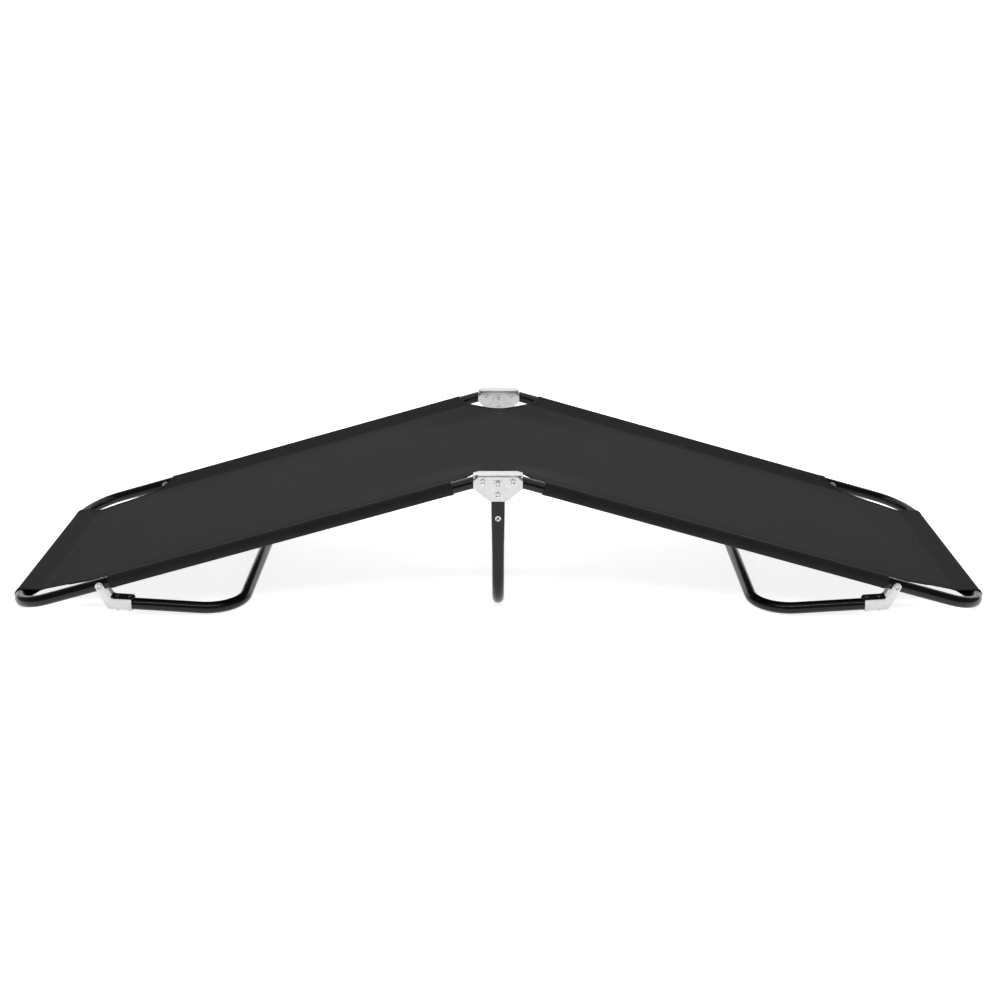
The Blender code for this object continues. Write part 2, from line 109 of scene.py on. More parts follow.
@dataclass(frozen=True)
class Layout:
    """Where the frame's joints are and the sizes that several pieces share."""

    hinge: Vector
    slope: float
    leg_pivot: float
    leg_open: float
    rail_y: float
    rail_length: float = 0.912
    tube_r: float = 0.011
    tube_wall: float = 0.0012
    corner_r: float = 0.0735

    @classmethod
    def from_frame(cls) -> "Layout":
        """Read the joints and the brackets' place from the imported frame.

        Returns:
            The layout of this cot.
        """
        joints = {joint["name"]: joint for joint in frame["joints"]}
        hinge = Vector(joints["right_half_fold"]["pos_m"])
        run = Vector(joints["right_leg_swing"]["pos_m"]) - hinge
        low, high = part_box("hinge_bracket_back")
        return cls(
            hinge=hinge,
            slope=math.atan2(-run.z, run.x),
            leg_pivot=run.length,
            leg_open=math.radians(joints["right_leg_swing"]["range_deg"][1]),
            rail_y=(low.y + high.y) / 2,
        )

    def half_axes(self, hand: Hand) -> Matrix:
        """The matrix from a bed half's own axes to the frame's.

        Args:
            hand: Which half.

        Returns:
            A 4x4 matrix.
        """
        turn = 0.0 if hand is Hand.RIGHT else math.pi
        place = Matrix.Translation((hand.value * self.hinge.x, 0, self.hinge.z))
        return place @ Matrix.Rotation(turn, 4, "Z") @ Matrix.Rotation(self.slope, 4, "Y")

    def leg_axes(self, hand: Hand) -> Matrix:
        """The matrix from an end leg's own axes to the frame's.

        Args:
            hand: Which end leg.

        Returns:
            A 4x4 matrix.
        """
        pin = Matrix.Translation((self.leg_pivot, 0, 0))
        turned = Matrix.Rotation(math.pi, 4, "Z") @ Matrix.Rotation(self.leg_open, 4, "Y")
        return self.half_axes(hand) @ pin @ turned


def smooth_step(value: np.ndarray, start: float, end: float) -> np.ndarray:
    """A smooth rise from 0 at start to 1 at end.

    Args:
        value: Where to read the rise.
        start: Where it begins.
        end: Where it is complete.

    Returns:
        The share at each value.
    """
    share = np.clip((np.asarray(value, float) - start) / (end - start), 0, 1)
    return share * share * (3 - 2 * share)


# --- modelling bench ---------------------------------------------------------------------


class Bench:
    """The modelling steps that every piece uses: add, pick, shape, finish and place."""

    @staticmethod
    def clear_selection() -> None:
        """Leave object mode with nothing selected."""
        if bpy.context.object and bpy.context.object.mode != "OBJECT":
            bpy.ops.object.mode_set(mode="OBJECT")
        bpy.ops.object.select_all(action="DESELECT")

    @staticmethod
    def take(piece: bpy.types.Object) -> None:
        """Select one piece alone and make it the active one."""
        Bench.clear_selection()
        piece.select_set(True)
        bpy.context.view_layer.objects.active = piece

    @staticmethod
    def edit(piece: bpy.types.Object, element: Element = Element.FACES) -> None:
        """Open one piece in edit mode.

        Args:
            piece: The piece to edit.
            element: What selections will pick.
        """
        Bench.take(piece)
        bpy.ops.object.mode_set(mode="EDIT")
        bpy.context.tool_settings.mesh_select_mode = element.value

    @staticmethod
    def pick(element: Element, test: Callable[[Vector, Vector], bool]) -> None:
        """Select what passes a test on its centre and normal, and nothing else.

        Args:
            element: Edges or faces.
            test: Called with the centre and the normal of each element. An edge has no
                normal of its own, so its test is given the z axis.
        """
        mesh = bpy.context.object.data
        bpy.context.tool_settings.mesh_select_mode = element.value
        bm = bmesh.from_edit_mesh(mesh)
        for group in (bm.faces, bm.edges, bm.verts):
            for part in group:
                part.select_set(False)
        bm.normal_update()
        if element is Element.EDGES:
            chosen = [e for e in bm.edges if test((e.verts[0].co + e.verts[1].co) / 2, Z_AXIS)]
        else:
            chosen = [f for f in bm.faces if test(f.calc_center_median(), f.normal)]
        for part in chosen:
            part.select_set(True)
        bm.select_flush_mode()
        bmesh.update_edit_mesh(mesh)

    @staticmethod
    def extrude(offset: Vector) -> None:
        """Extrude the selection by an offset."""
        bpy.ops.mesh.extrude_region_move(TRANSFORM_OT_translate={"value": tuple(offset)})

    @staticmethod
    def scale(factors: tuple[float, float, float], centre: Vector) -> None:
        """Scale the selection about a point."""
        bpy.ops.transform.resize(value=factors, center_override=tuple(centre))

    @staticmethod
    def spin(angle: float, steps: int, centre: Vector, axis: Vector) -> None:
        """Sweep the selection round an axis.

        Args:
            angle: How far to turn, anticlockwise about the axis. The operator's own sign
                is the other way.
            steps: How many steps to take.
            centre: A point on the axis.
            axis: The axis' direction.
        """
        bpy.ops.mesh.spin(steps=steps, angle=-angle, center=tuple(centre), axis=tuple(axis))

    @staticmethod
    def close(merge: float = 0.005 * MM) -> None:
        """Merge points nearer than merge, point all faces outwards and leave edit mode."""
        bpy.ops.mesh.select_all(action="SELECT")
        bpy.ops.mesh.remove_doubles(threshold=merge)
        bpy.ops.mesh.normals_make_consistent(inside=False)
        bpy.ops.object.mode_set(mode="OBJECT")

    @staticmethod
    def outline(name: str, points: list[Vector]) -> bpy.types.Object:
        """A flat face whose edge runs through the given points, open in edit mode.

        Args:
            name: The piece's name.
            points: The outline's corners, in order.

        Returns:
            The new piece, with its one face selected.
        """
        Bench.clear_selection()
        bpy.ops.mesh.primitive_circle_add(vertices=len(points), fill_type="NGON")
        piece = bpy.context.object
        piece.name = name
        for vert, point in zip(piece.data.vertices, points):
            vert.co = point
        Bench.edit(piece)
        bpy.ops.mesh.select_all(action="SELECT")
        return piece

    @staticmethod
    def modify(piece: bpy.types.Object, kind: str, **settings: object) -> None:
        """Add a modifier and apply it at once.

        Args:
            piece: The piece to change.
            kind: The modifier's type.
            **settings: Its properties.
        """
        Bench.take(piece)
        modifier = piece.modifiers.new(kind.lower(), kind)
        for key, value in settings.items():
            setattr(modifier, key, value)
        bpy.ops.object.modifier_apply(modifier=modifier.name)

    @staticmethod
    def round_edges(piece: bpy.types.Object, width: float, segments: int = 2) -> None:
        """Round a piece's sharp edges by a small width."""
        Bench.modify(
            piece, "BEVEL", width=width, segments=segments,
            limit_method="ANGLE", angle_limit=SHARP, harden_normals=False,
        )

    @staticmethod
    def thicken(piece: bpy.types.Object, thickness: float) -> None:
        """Give a pressed sheet its thickness, half on each side of its middle surface."""
        Bench.modify(
            piece, "SOLIDIFY", thickness=thickness, offset=0, use_even_offset=True
        )

    @staticmethod
    def smooth(piece: bpy.types.Object, degrees: float = 35.0) -> None:
        """Shade smooth, with edges sharper than the angle kept crisp."""
        Bench.take(piece)
        bpy.ops.object.shade_smooth_by_angle(angle=math.radians(degrees))

    @staticmethod
    def place(piece: bpy.types.Object, matrix: Matrix) -> None:
        """Put a piece's place into its mesh, with its object at the origin."""
        piece.data.transform(matrix @ piece.matrix_world)
        piece.matrix_world = Matrix.Identity(4)

    @staticmethod
    def copy(piece: bpy.types.Object, name: str, matrix: Matrix) -> bpy.types.Object:
        """A copy of a finished piece with its own mesh, in another place.

        Args:
            piece: The piece to copy, in its own axes.
            name: The copy's name.
            matrix: From those axes to the frame's.

        Returns:
            The copy.
        """
        twin = piece.copy()
        twin.data = piece.data.copy()
        twin.name = name
        twin.data.name = name
        bpy.context.collection.objects.link(twin)
        twin.data.transform(matrix)
        return twin

    @staticmethod
    def discard(piece: bpy.types.Object) -> None:
        """Remove a pattern piece that has been copied."""
        bpy.data.objects.remove(piece, do_unlink=True)


def fit(piece: bpy.types.Object, body: str, finish: "Finish", *nodes: str) -> None:
    """Dress a piece, let it ride on its body and stand for its nodes.

    Args:
        piece: The finished piece.
        body: The body that it moves with.
        finish: Its finish.
        *nodes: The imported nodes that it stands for.
    """
    finish.dress(piece)
    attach(piece, body)
    if nodes:
        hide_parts(*nodes)
    LOG.info("%s rides on %s: %d faces", piece.name, body, len(piece.data.polygons))


# --- finishes ----------------------------------------------------------------------------


def linear(hex_colour: str) -> tuple[float, float, float, float]:
    """An sRGB hex colour as linear values.

    Args:
        hex_colour: Such as "#2c2c2e".

    Returns:
        Red, green, blue and alpha.
    """
    parts = [int(hex_colour[at:at + 2], 16) / 255 for at in (1, 3, 5)]
    values = [c / 12.92 if c <= 0.04045 else ((c + 0.055) / 1.055) ** 2.4 for c in parts]
    return (*values, 1.0)


def add_node(
    tree: bpy.types.NodeTree, kind: str, inputs: dict | None = None, **settings: object
) -> bpy.types.Node:
    """Add one shader node with its settings, values and links.

    Args:
        tree: The material's node tree.
        kind: The node's type, without "ShaderNode".
        inputs: For each input's name or number, a value or a socket to link from.
        **settings: The node's own properties.

    Returns:
        The new node.
    """
    node = tree.nodes.new("ShaderNode" + kind)
    for key, value in settings.items():
        setattr(node, key, value)
    for key, value in (inputs or {}).items():
        if isinstance(value, bpy.types.NodeSocket):
            tree.links.new(value, node.inputs[key])
        else:
            node.inputs[key].default_value = value
    return node


class Finish:
    """One finish: a record slot and a material that is built when it is first needed."""

    name = "finish"
    record_slot = ""
    colours = ("#000000", "#ffffff")
    roughness = (0.4, 0.6)
    relief = (0.0, 0.0)
    _made: bpy.types.Material | None = None

    def dress(self, piece: bpy.types.Object) -> None:
        """Give a piece this finish."""
        if self._made is None:
            self._made = bpy.data.materials.new(self.name)
            self._made.use_nodes = True
            tree = self._made.node_tree
            tree.nodes.clear()
            shader = add_node(tree, "BsdfPrincipled")
            add_node(tree, "OutputMaterial", {"Surface": shader.outputs[0]})
            self.build(tree, shader)
        piece.data.materials.clear()
        piece.data.materials.append(self._made)

    def build(self, tree: bpy.types.NodeTree, shader: bpy.types.Node) -> None:
        """Fill in the shader and its patterns.

        Args:
            tree: The material's node tree.
            shader: Its Principled shader.
        """
        raise NotImplementedError

    def tone(
        self, tree: bpy.types.NodeTree, share: bpy.types.NodeSocket
    ) -> bpy.types.NodeSocket:
        """Mix the finish's two colours.

        Args:
            tree: The material's node tree.
            share: How much of the second colour shows.

        Returns:
            The mixed colour's socket.
        """
        first, second = (linear(colour) for colour in self.colours)
        mix = add_node(tree, "Mix", {0: share, 6: first, 7: second}, data_type="RGBA")
        return mix.outputs[2]

    def connect(
        self, tree: bpy.types.NodeTree, shader: bpy.types.Node, colour: bpy.types.NodeSocket,
        dulling: bpy.types.NodeSocket, height: bpy.types.NodeSocket | None = None,
    ) -> None:
        """Link the patterns to the shader's colour, roughness and normal.

        Args:
            tree: The material's node tree.
            shader: Its Principled shader.
            colour: The colour.
            dulling: The pattern that is spread over the finish's range of roughness.
            height: The pattern that stands proud by the finish's relief, if it has one.
        """
        low, high = self.roughness
        rough = add_node(tree, "MapRange", {0: dulling, 3: low, 4: high})
        tree.links.new(colour, shader.inputs["Base Color"])
        tree.links.new(rough.outputs[0], shader.inputs["Roughness"])
        if height is not None:
            strength, depth = self.relief
            bump = add_node(
                tree, "Bump", {"Strength": strength, "Distance": depth, "Height": height}
            )
            tree.links.new(bump.outputs[0], shader.inputs["Normal"])


class BakedEnamel(Finish):
    """Gloss black stoving enamel sprayed on drawn steel tube.

    Spraying leaves a faint orange peel a few millimetres across, which breaks up the
    edges of the long highlights, handling leaves thin hazy patches, and a little dust
    settles in specks under a millimetre wide.
    """

    name = "baked_enamel_on_steel_tube"
    record_slot = "black_enamel"
    colours = ("#0d0d0e", "#1b1b1c")
    roughness = (0.13, 0.25)
    relief = (0.10, 0.1 * MM)
    specular = 0.30
    peel = 2.6 * MM
    haze = 45 * MM
    dust = MM / 1.4
    dust_from = 0.68
    dust_full = 0.78

    def build(self, tree: bpy.types.NodeTree, shader: bpy.types.Node) -> None:
        """Fill in the enamel's gloss, haze, dust and orange peel."""
        spot = add_node(tree, "TexCoord").outputs["Object"]
        haze = add_node(tree, "TexNoise", {0: spot, "Scale": 1 / self.haze, "Detail": 4.0})
        peel = add_node(tree, "TexNoise", {0: spot, "Scale": 1 / self.peel, "Detail": 1.0})
        dust = add_node(tree, "TexNoise", {0: spot, "Scale": 1 / self.dust, "Detail": 2.0})
        specks = add_node(
            tree, "MapRange", {0: dust.outputs[0], 1: self.dust_from, 2: self.dust_full}
        )
        colour = self.tone(tree, specks.outputs[0])
        self.connect(tree, shader, colour, haze.outputs[0], peel.outputs[0])
        shader.inputs["Specular IOR Level"].default_value = self.specular


class ZincSheet(Finish):
    """Cold-rolled steel sheet, pressed and then bright zinc plated.

    Plating is pale and even, with the sheet's fine rolling grain showing through along the
    strip, soft cloudy patches a few millimetres wide and darker tone in fine scratches.
    """

    name = "zinc_plated_pressed_sheet"
    record_slot = "zinc_steel"
    colours = ("#c9caca", "#b7b8b9")
    roughness = (0.26, 0.34)
    relief = (0.05, 0.05 * MM)
    grain = 0.35 * MM
    cloud = 7 * MM
    rolled = (0.03, 1.0, 1.0)
    scratch = MM / 0.9
    scratch_turn = (0.3, 0.7, 0.2)
    scratch_run = (0.02, 1.0, 1.0)
    scratch_from = 0.66
    scratch_full = 0.74
    scratch_share = 0.22
    scratch_colour = "#8f9091"

    def build(self, tree: bpy.types.NodeTree, shader: bpy.types.Node) -> None:
        """Fill in the plating's clouds, grain and scratches."""
        spot = add_node(tree, "TexCoord").outputs["Object"]
        along = add_node(tree, "Mapping", {0: spot, "Scale": self.rolled})
        grain = add_node(
            tree, "TexNoise", {0: along.outputs[0], "Scale": 1 / self.grain, "Detail": 2.0}
        )
        cloud = add_node(tree, "TexNoise", {0: spot, "Scale": 1 / self.cloud, "Detail": 3.0})
        tilted = add_node(
            tree, "Mapping",
            {0: spot, "Rotation": self.scratch_turn, "Scale": self.scratch_run},
        )
        scratch = add_node(
            tree, "TexNoise", {0: tilted.outputs[0], "Scale": 1 / self.scratch, "Detail": 1.0}
        )
        lines = add_node(
            tree, "MapRange",
            {0: scratch.outputs[0], 1: self.scratch_from, 2: self.scratch_full},
        )
        worn = add_node(
            tree, "Math", {0: lines.outputs[0], 1: self.scratch_share}, operation="MULTIPLY"
        )
        tone = self.tone(tree, cloud.outputs[0])
        colour = add_node(
            tree, "Mix", {0: worn.outputs[0], 6: tone, 7: linear(self.scratch_colour)},
            data_type="RGBA",
        )
        self.connect(tree, shader, colour.outputs[2], cloud.outputs[0], grain.outputs[0])
        shader.inputs["Metallic"].default_value = 1.0


class ZincRivet(ZincSheet):
    """Cold-headed steel rivets, zinc plated: a little brighter and smoother than the sheet."""

    name = "zinc_plated_rivet"
    record_slot = "zinc_rivet"
    colours = ("#d2d3d3", "#c0c1c2")
    roughness = (0.20, 0.32)
    grain = 0.25 * MM
    cloud = 3 * MM


class MouldedRubber(Finish):
    """Black rubber strip: a dull, slightly grey skin with a fine pebbled surface."""

    name = "moulded_rubber_strip"
    record_slot = "black_rubber"
    colours = ("#121213", "#1f1f20")
    roughness = (0.5, 0.68)
    relief = (0.25, 0.1 * MM)
    bloom = 6.25 * MM
    pebble = 0.8 * MM

    def build(self, tree: bpy.types.NodeTree, shader: bpy.types.Node) -> None:
        """Fill in the rubber's grey bloom and pebbled skin."""
        spot = add_node(tree, "TexCoord").outputs["Object"]
        bloom = add_node(tree, "TexNoise", {0: spot, "Scale": 1 / self.bloom, "Detail": 3.0})
        skin = add_node(tree, "TexVoronoi", {0: spot, "Scale": 1 / self.pebble})
        colour = self.tone(tree, bloom.outputs[0])
        self.connect(tree, shader, colour, bloom.outputs[0], skin.outputs[0])


class WovenPolyester(Finish):
    """Coated plain-weave polyester, solution dyed black.

    Its threads are about 0.5 mm apart, drawn here at 1.1 mm so that the weave shows, with
    painted shade darkening the gaps between threads and a painted highlight on their crowns.
    Thick and thin yarns make faint stripes both ways, the coating dulls the shine, and a
    fine fuzz turns surfaces paler where they are seen at a low angle.
    """

    name = "coated_plain_weave_polyester"
    record_slot = "woven_polyester"
    colours = ("#1c1c1d", "#272729")
    roughness = (0.78, 0.92)
    relief = (0.35, 0.15 * MM)
    thread = 1.1 * MM
    stripe = 2.2 * MM
    stripe_run = 0.02
    stripe_share = 0.35
    mottle = MM / 0.014
    ridge_shade_share = 0.28
    tone_range = (0.55, 1.45)
    fuzz = {"Sheen Weight": 0.03, "Sheen Roughness": 0.45, "Specular IOR Level": 0.12}

    def build(self, tree: bpy.types.NodeTree, shader: bpy.types.Node) -> None:
        """Fill in the weave with painted shade between threads, the yarns' stripes and mottled
        tone.
        """
        flat = add_node(tree, "UVMap", uv_map="cloth").outputs[0]
        axes = add_node(tree, "SeparateXYZ", {0: flat})
        ridges = []
        stripes = []
        for number in (0, 1):
            turns = add_node(
                tree, "Math", {0: axes.outputs[number], 1: math.pi / self.thread},
                operation="MULTIPLY",
            )
            wave = add_node(tree, "Math", {0: turns.outputs[0]}, operation="SINE")
            ridge = add_node(tree, "Math", {0: wave.outputs[0]}, operation="ABSOLUTE")
            ridges.append(ridge.outputs[0])
            run = [1.0, 1.0, 1.0]
            run[1 - number] = self.stripe_run
            drawn = add_node(tree, "Mapping", {0: flat, "Scale": run})
            stripe = add_node(
                tree, "TexNoise", {0: drawn.outputs[0], "Scale": 1 / self.stripe, "Detail": 2.0}
            )
            stripes.append(stripe.outputs[0])
        over = add_node(tree, "TexChecker", {0: flat, "Scale": 1 / self.thread})
        height = add_node(tree, "Mix", {0: over.outputs[1], 2: ridges[0], 3: ridges[1]})
        yarn = add_node(tree, "Math", {0: stripes[0], 1: stripes[1]}, operation="ADD")
        mottle = add_node(tree, "TexNoise", {0: flat, "Scale": 1 / self.mottle, "Detail": 5.0})
        tone = add_node(
            tree, "Math", {0: yarn.outputs[0], 1: self.stripe_share, 2: mottle.outputs[0]},
            operation="MULTIPLY_ADD",
        )
        # Painted shade: the weave's height is added to the tone, so the gaps between threads are
        # painted darker and the thread crowns paler.
        gaps = add_node(
            tree, "Math", {0: height.outputs[0], 1: self.ridge_shade_share, 2: tone.outputs[0]},
            operation="MULTIPLY_ADD",
        )
        low, high = self.tone_range
        share = add_node(tree, "MapRange", {0: gaps.outputs[0], 1: low, 2: high})
        colour = self.tone(tree, share.outputs[0])
        self.connect(tree, shader, colour, mottle.outputs[0], height.outputs[0])
        for socket, value in self.fuzz.items():
            shader.inputs[socket].default_value = value


class SewingThread(Finish):
    """Twisted polyester sewing thread: black, slightly glossier than the cloth."""

    name = "twisted_polyester_thread"
    record_slot = "woven_polyester"
    colours = ("#161617", "#2a2a2c")
    roughness = (0.45, 0.6)
    twist = 0.6 * MM

    def build(self, tree: bpy.types.NodeTree, shader: bpy.types.Node) -> None:
        """Fill in the thread's tone, which varies with its twist."""
        spot = add_node(tree, "TexCoord").outputs["Object"]
        twist = add_node(tree, "TexNoise", {0: spot, "Scale": 1 / self.twist, "Detail": 1.0})
        self.connect(tree, shader, self.tone(tree, twist.outputs[0]), twist.outputs[0])


@dataclass(frozen=True)
class Finishes:
    """The finishes of this cot, each made once."""

    enamel: Finish = field(default_factory=BakedEnamel)
    sheet_steel: Finish = field(default_factory=ZincSheet)
    rivet: Finish = field(default_factory=ZincRivet)
    rubber: Finish = field(default_factory=MouldedRubber)
    cloth: Finish = field(default_factory=WovenPolyester)
    thread: Finish = field(default_factory=SewingThread)


# --- tubes -------------------------------------------------------------------------------

# A station on a tube: its place along x, half width across the U, half width square to it.
Stop = tuple[float, float, float]


@dataclass
class BentTube:
    """A U of drawn tube: two arms along x, joined by a bar across."""

    layout: Layout
    bar: float
    drop: float = 0.0
    sides: int = 48
    bend_steps: int = 18

    def draw(self, name: str, stops: list[Stop]) -> bpy.types.Object:
        """Draw the tube out along its path and bend it.

        Args:
            name: The piece's name.
            stops: The stations on an arm, from its open end.

        Returns:
            The tube in its own axes, without its wall's thickness.
        """
        size = self.layout
        start, wide, deep = stops[0]
        Bench.clear_selection()
        bpy.ops.mesh.primitive_circle_add(
            vertices=self.sides, radius=size.tube_r,
            location=(start, size.rail_y, -self.drop), rotation=(0, math.pi / 2, 0),
        )
        tube = bpy.context.object
        tube.name = name
        Bench.place(tube, Matrix.Identity(4))
        Bench.edit(tube, Element.EDGES)
        bpy.ops.mesh.select_all(action="SELECT")
        here = Vector((start, size.rail_y, -self.drop))
        Bench.scale((1, wide / size.tube_r, deep / size.tube_r), here)
        bend_at = self.bar - size.corner_r
        self._walk(here, stops[0], [*stops[1:], (bend_at, size.tube_r, size.tube_r)])
        inner = size.rail_y - size.corner_r
        corner = Vector((bend_at, inner, -self.drop))
        Bench.spin(-math.pi / 2, self.bend_steps, corner, Z_AXIS)
        Bench.extrude(-2 * inner * Y_AXIS)
        corner.y = -inner
        Bench.spin(-math.pi / 2, self.bend_steps, corner, Z_AXIS)
        here = Vector((bend_at, -size.rail_y, -self.drop))
        self._walk(here, (bend_at, size.tube_r, size.tube_r), stops[::-1])
        Bench.close()
        return tube

    @staticmethod
    def _walk(here: Vector, before: Stop, run: list[Stop]) -> None:
        """Pull the open end through a run of stations.

        Args:
            here: The centre of the open end.
            before: The station that it stands at.
            run: The stations that follow.
        """
        for stop in run:
            if abs(stop[0] - here.x) > MM / 100:
                Bench.extrude((stop[0] - here.x) * X_AXIS)
            here.x = stop[0]
            Bench.scale((1, stop[1] / before[1], stop[2] / before[2]), here)
            before = stop

    def wall(self, tube: bpy.types.Object) -> None:
        """Give the tube its wall and shade it."""
        Bench.modify(tube, "SOLIDIFY", thickness=self.layout.tube_wall, offset=-1)
        Bench.smooth(tube, 40)


@dataclass
class BedFrame:
    """The two bed halves' tubes, each a U with its open ends rounded inside the hinges."""

    layout: Layout
    end_r: float = 0.0102
    stations: tuple[float, ...] = (0.0, 0.004, 0.30, 0.60)

    def build(self, finishes: Finishes) -> None:
        """Build both tubes from one pattern.

        Args:
            finishes: The cot's finishes.
        """
        size = self.layout
        bender = BentTube(size, bar=size.rail_length)
        stops = [(x, size.tube_r, size.tube_r) for x in self.stations]
        pattern = bender.draw("frame_pattern", stops)
        # The open ends bulge, so that they turn freely under the brackets' webs.
        for vert in pattern.data.vertices:
            if vert.co.x < MM:
                vert.co.x = -math.sqrt(max(0.0, self.end_r**2 - vert.co.z**2))
        bender.wall(pattern)
        for hand in Hand:
            tube = Bench.copy(pattern, f"{hand.label}_frame", size.half_axes(hand))
            fit(tube, f"{hand.label}_half", finishes.enamel, f"{hand.label}_frame_tube")
        Bench.discard(pattern)


@dataclass
class CentreLeg:
    """The centre leg: a U that hangs from the brackets, pressed flatter at its tops."""

    layout: Layout
    top: float = 0.003
    flat_end: float = 0.038
    round_start: float = 0.160
    half_depth: float = 0.0084
    half_width: float = 0.0125
    face_share: float = 0.86
    steps: int = 8

    def build(self, finishes: Finishes) -> None:
        """Build the leg, with a smooth swell from its pressed top to the round tube.

        Args:
            finishes: The cot's finishes.
        """
        size = self.layout
        stops = [(-self.top, self.half_depth, self.half_width)]
        for step in range(self.steps + 1):
            share = float(smooth_step(step / self.steps, 0, 1))
            place = self.flat_end + (self.round_start - self.flat_end) * step / self.steps
            stops.append((
                place,
                self.half_depth + (size.tube_r - self.half_depth) * share,
                self.half_width + (size.tube_r - self.half_width) * share,
            ))
        bender = BentTube(size, bar=size.hinge.z - size.tube_r)
        leg = bender.draw("centre_leg_tube", stops)
        self._press(leg)
        bender.wall(leg)
        down = Matrix.Translation((0, 0, size.hinge.z)) @ Matrix.Rotation(math.pi / 2, 4, "Y")
        Bench.place(leg, down)
        fit(leg, "centre", finishes.enamel, "centre_leg")

    def _press(self, leg: bpy.types.Object) -> None:
        """Flatten the pressed tops' faces, which meet the bracket's cheeks.

        Args:
            leg: The tube in its own axes.
        """
        limit = self.face_share * self.half_depth
        for vert in leg.data.vertices:
            if vert.co.x < self.round_start:
                side = math.copysign(self.layout.rail_y, vert.co.y)
                off = vert.co.y - side
                flat = 1 - float(smooth_step(vert.co.x, self.flat_end, self.round_start))
                pressed = math.copysign(min(abs(off), limit), off)
                vert.co.y = side + off + (pressed - off) * flat


# --- rivets ------------------------------------------------------------------------------


@dataclass(frozen=True)
class Rivet:
    """A headed rivet: a dished head with a rounded rim, a shank and a rolled tail.

    The dish goes down in rings, each told by its width as a share of the head's radius and
    its drop as a share of the dish. The tail's roll is told by two shares of the rim.
    """

    shank_r: float
    head_r: float
    rim: float
    dish: float
    bore_r: float = 0.0
    tail_r: float = 0.0
    sides: int = 32
    play: float = 0.3 * MM
    edge: float = 0.22 * MM
    rings: tuple[tuple[float, float], ...] = ((0.22, 0.0), (0.16, 0.7), (0.12, 0.3))
    bore_share: float = 0.25
    tail_share: float = 0.8
    flare: float = 0.02 * MM
    roll: tuple[float, float] = (0.6, 0.35)
    roll_in: float = 0.72
    tail_ring: float = 0.25
    tail_dish: float = 0.5

    def pattern(self, name: str, grip: float) -> bpy.types.Object:
        """Turn the rivet about z, with its head up and its grip centred on the origin.

        Args:
            name: The piece's name.
            grip: The thickness of the stack that it holds.

        Returns:
            The rivet in its own axes.
        """
        half = grip / 2 + self.play
        Bench.clear_selection()
        bpy.ops.mesh.primitive_cylinder_add(
            vertices=self.sides, radius=self.head_r, depth=self.rim,
            location=(0, 0, half + self.rim / 2),
        )
        rivet = bpy.context.object
        rivet.name = name
        Bench.place(rivet, Matrix.Identity(4))
        Bench.edit(rivet)
        self._head(half)
        self._tail(half)
        Bench.close()
        Bench.round_edges(rivet, self.edge)
        Bench.smooth(rivet, 45)
        return rivet

    def _head(self, half: float) -> None:
        """Sink the head's dish and, in a hollow rivet, its bore.

        Args:
            half: Half the grip.
        """
        Bench.pick(Element.FACES, lambda at, normal: normal.z > 0.9)
        left = 1.0
        for ring, drop in self.rings:
            bpy.ops.mesh.inset(thickness=ring * self.head_r)
            bpy.ops.transform.translate(value=(0, 0, -drop * self.dish))
            left -= ring
        if self.bore_r:
            bpy.ops.mesh.inset(thickness=left * self.head_r - self.bore_r)
            Bench.extrude(-self.bore_share * (2 * half + self.rim) * Z_AXIS)

    def _tail(self, half: float) -> None:
        """Draw the shank down from under the head and roll its tail.

        Args:
            half: Half the grip.
        """
        tail_r = self.tail_r or self.tail_share * self.head_r
        Bench.pick(Element.FACES, lambda at, normal: normal.z < -0.9 and at.z > 0)
        bpy.ops.mesh.inset(thickness=self.head_r - self.shank_r)
        Bench.extrude(-2 * half * Z_AXIS)
        Bench.extrude(-self.flare * Z_AXIS)
        Bench.scale((tail_r / self.shank_r,) * 2 + (1,), Vector((0, 0, -half)))
        for share in self.roll:
            Bench.extrude(-share * self.rim * Z_AXIS)
        Bench.scale((self.roll_in,) * 2 + (1,), Vector((0, 0, -half - self.rim)))
        bpy.ops.mesh.inset(thickness=self.tail_ring * tail_r)
        bpy.ops.transform.translate(value=(0, 0, self.tail_dish * self.rim))


def along(axis: Vector, spot: Vector) -> Matrix:
    """The matrix that stands a piece's z along an axis at a spot.

    Args:
        axis: The direction that z turns to.
        spot: Where the origin goes.

    Returns:
        A 4x4 matrix.
    """
    return Matrix.Translation(spot) @ Z_AXIS.rotation_difference(axis).to_matrix().to_4x4()


# --- hinge brackets ----------------------------------------------------------------------


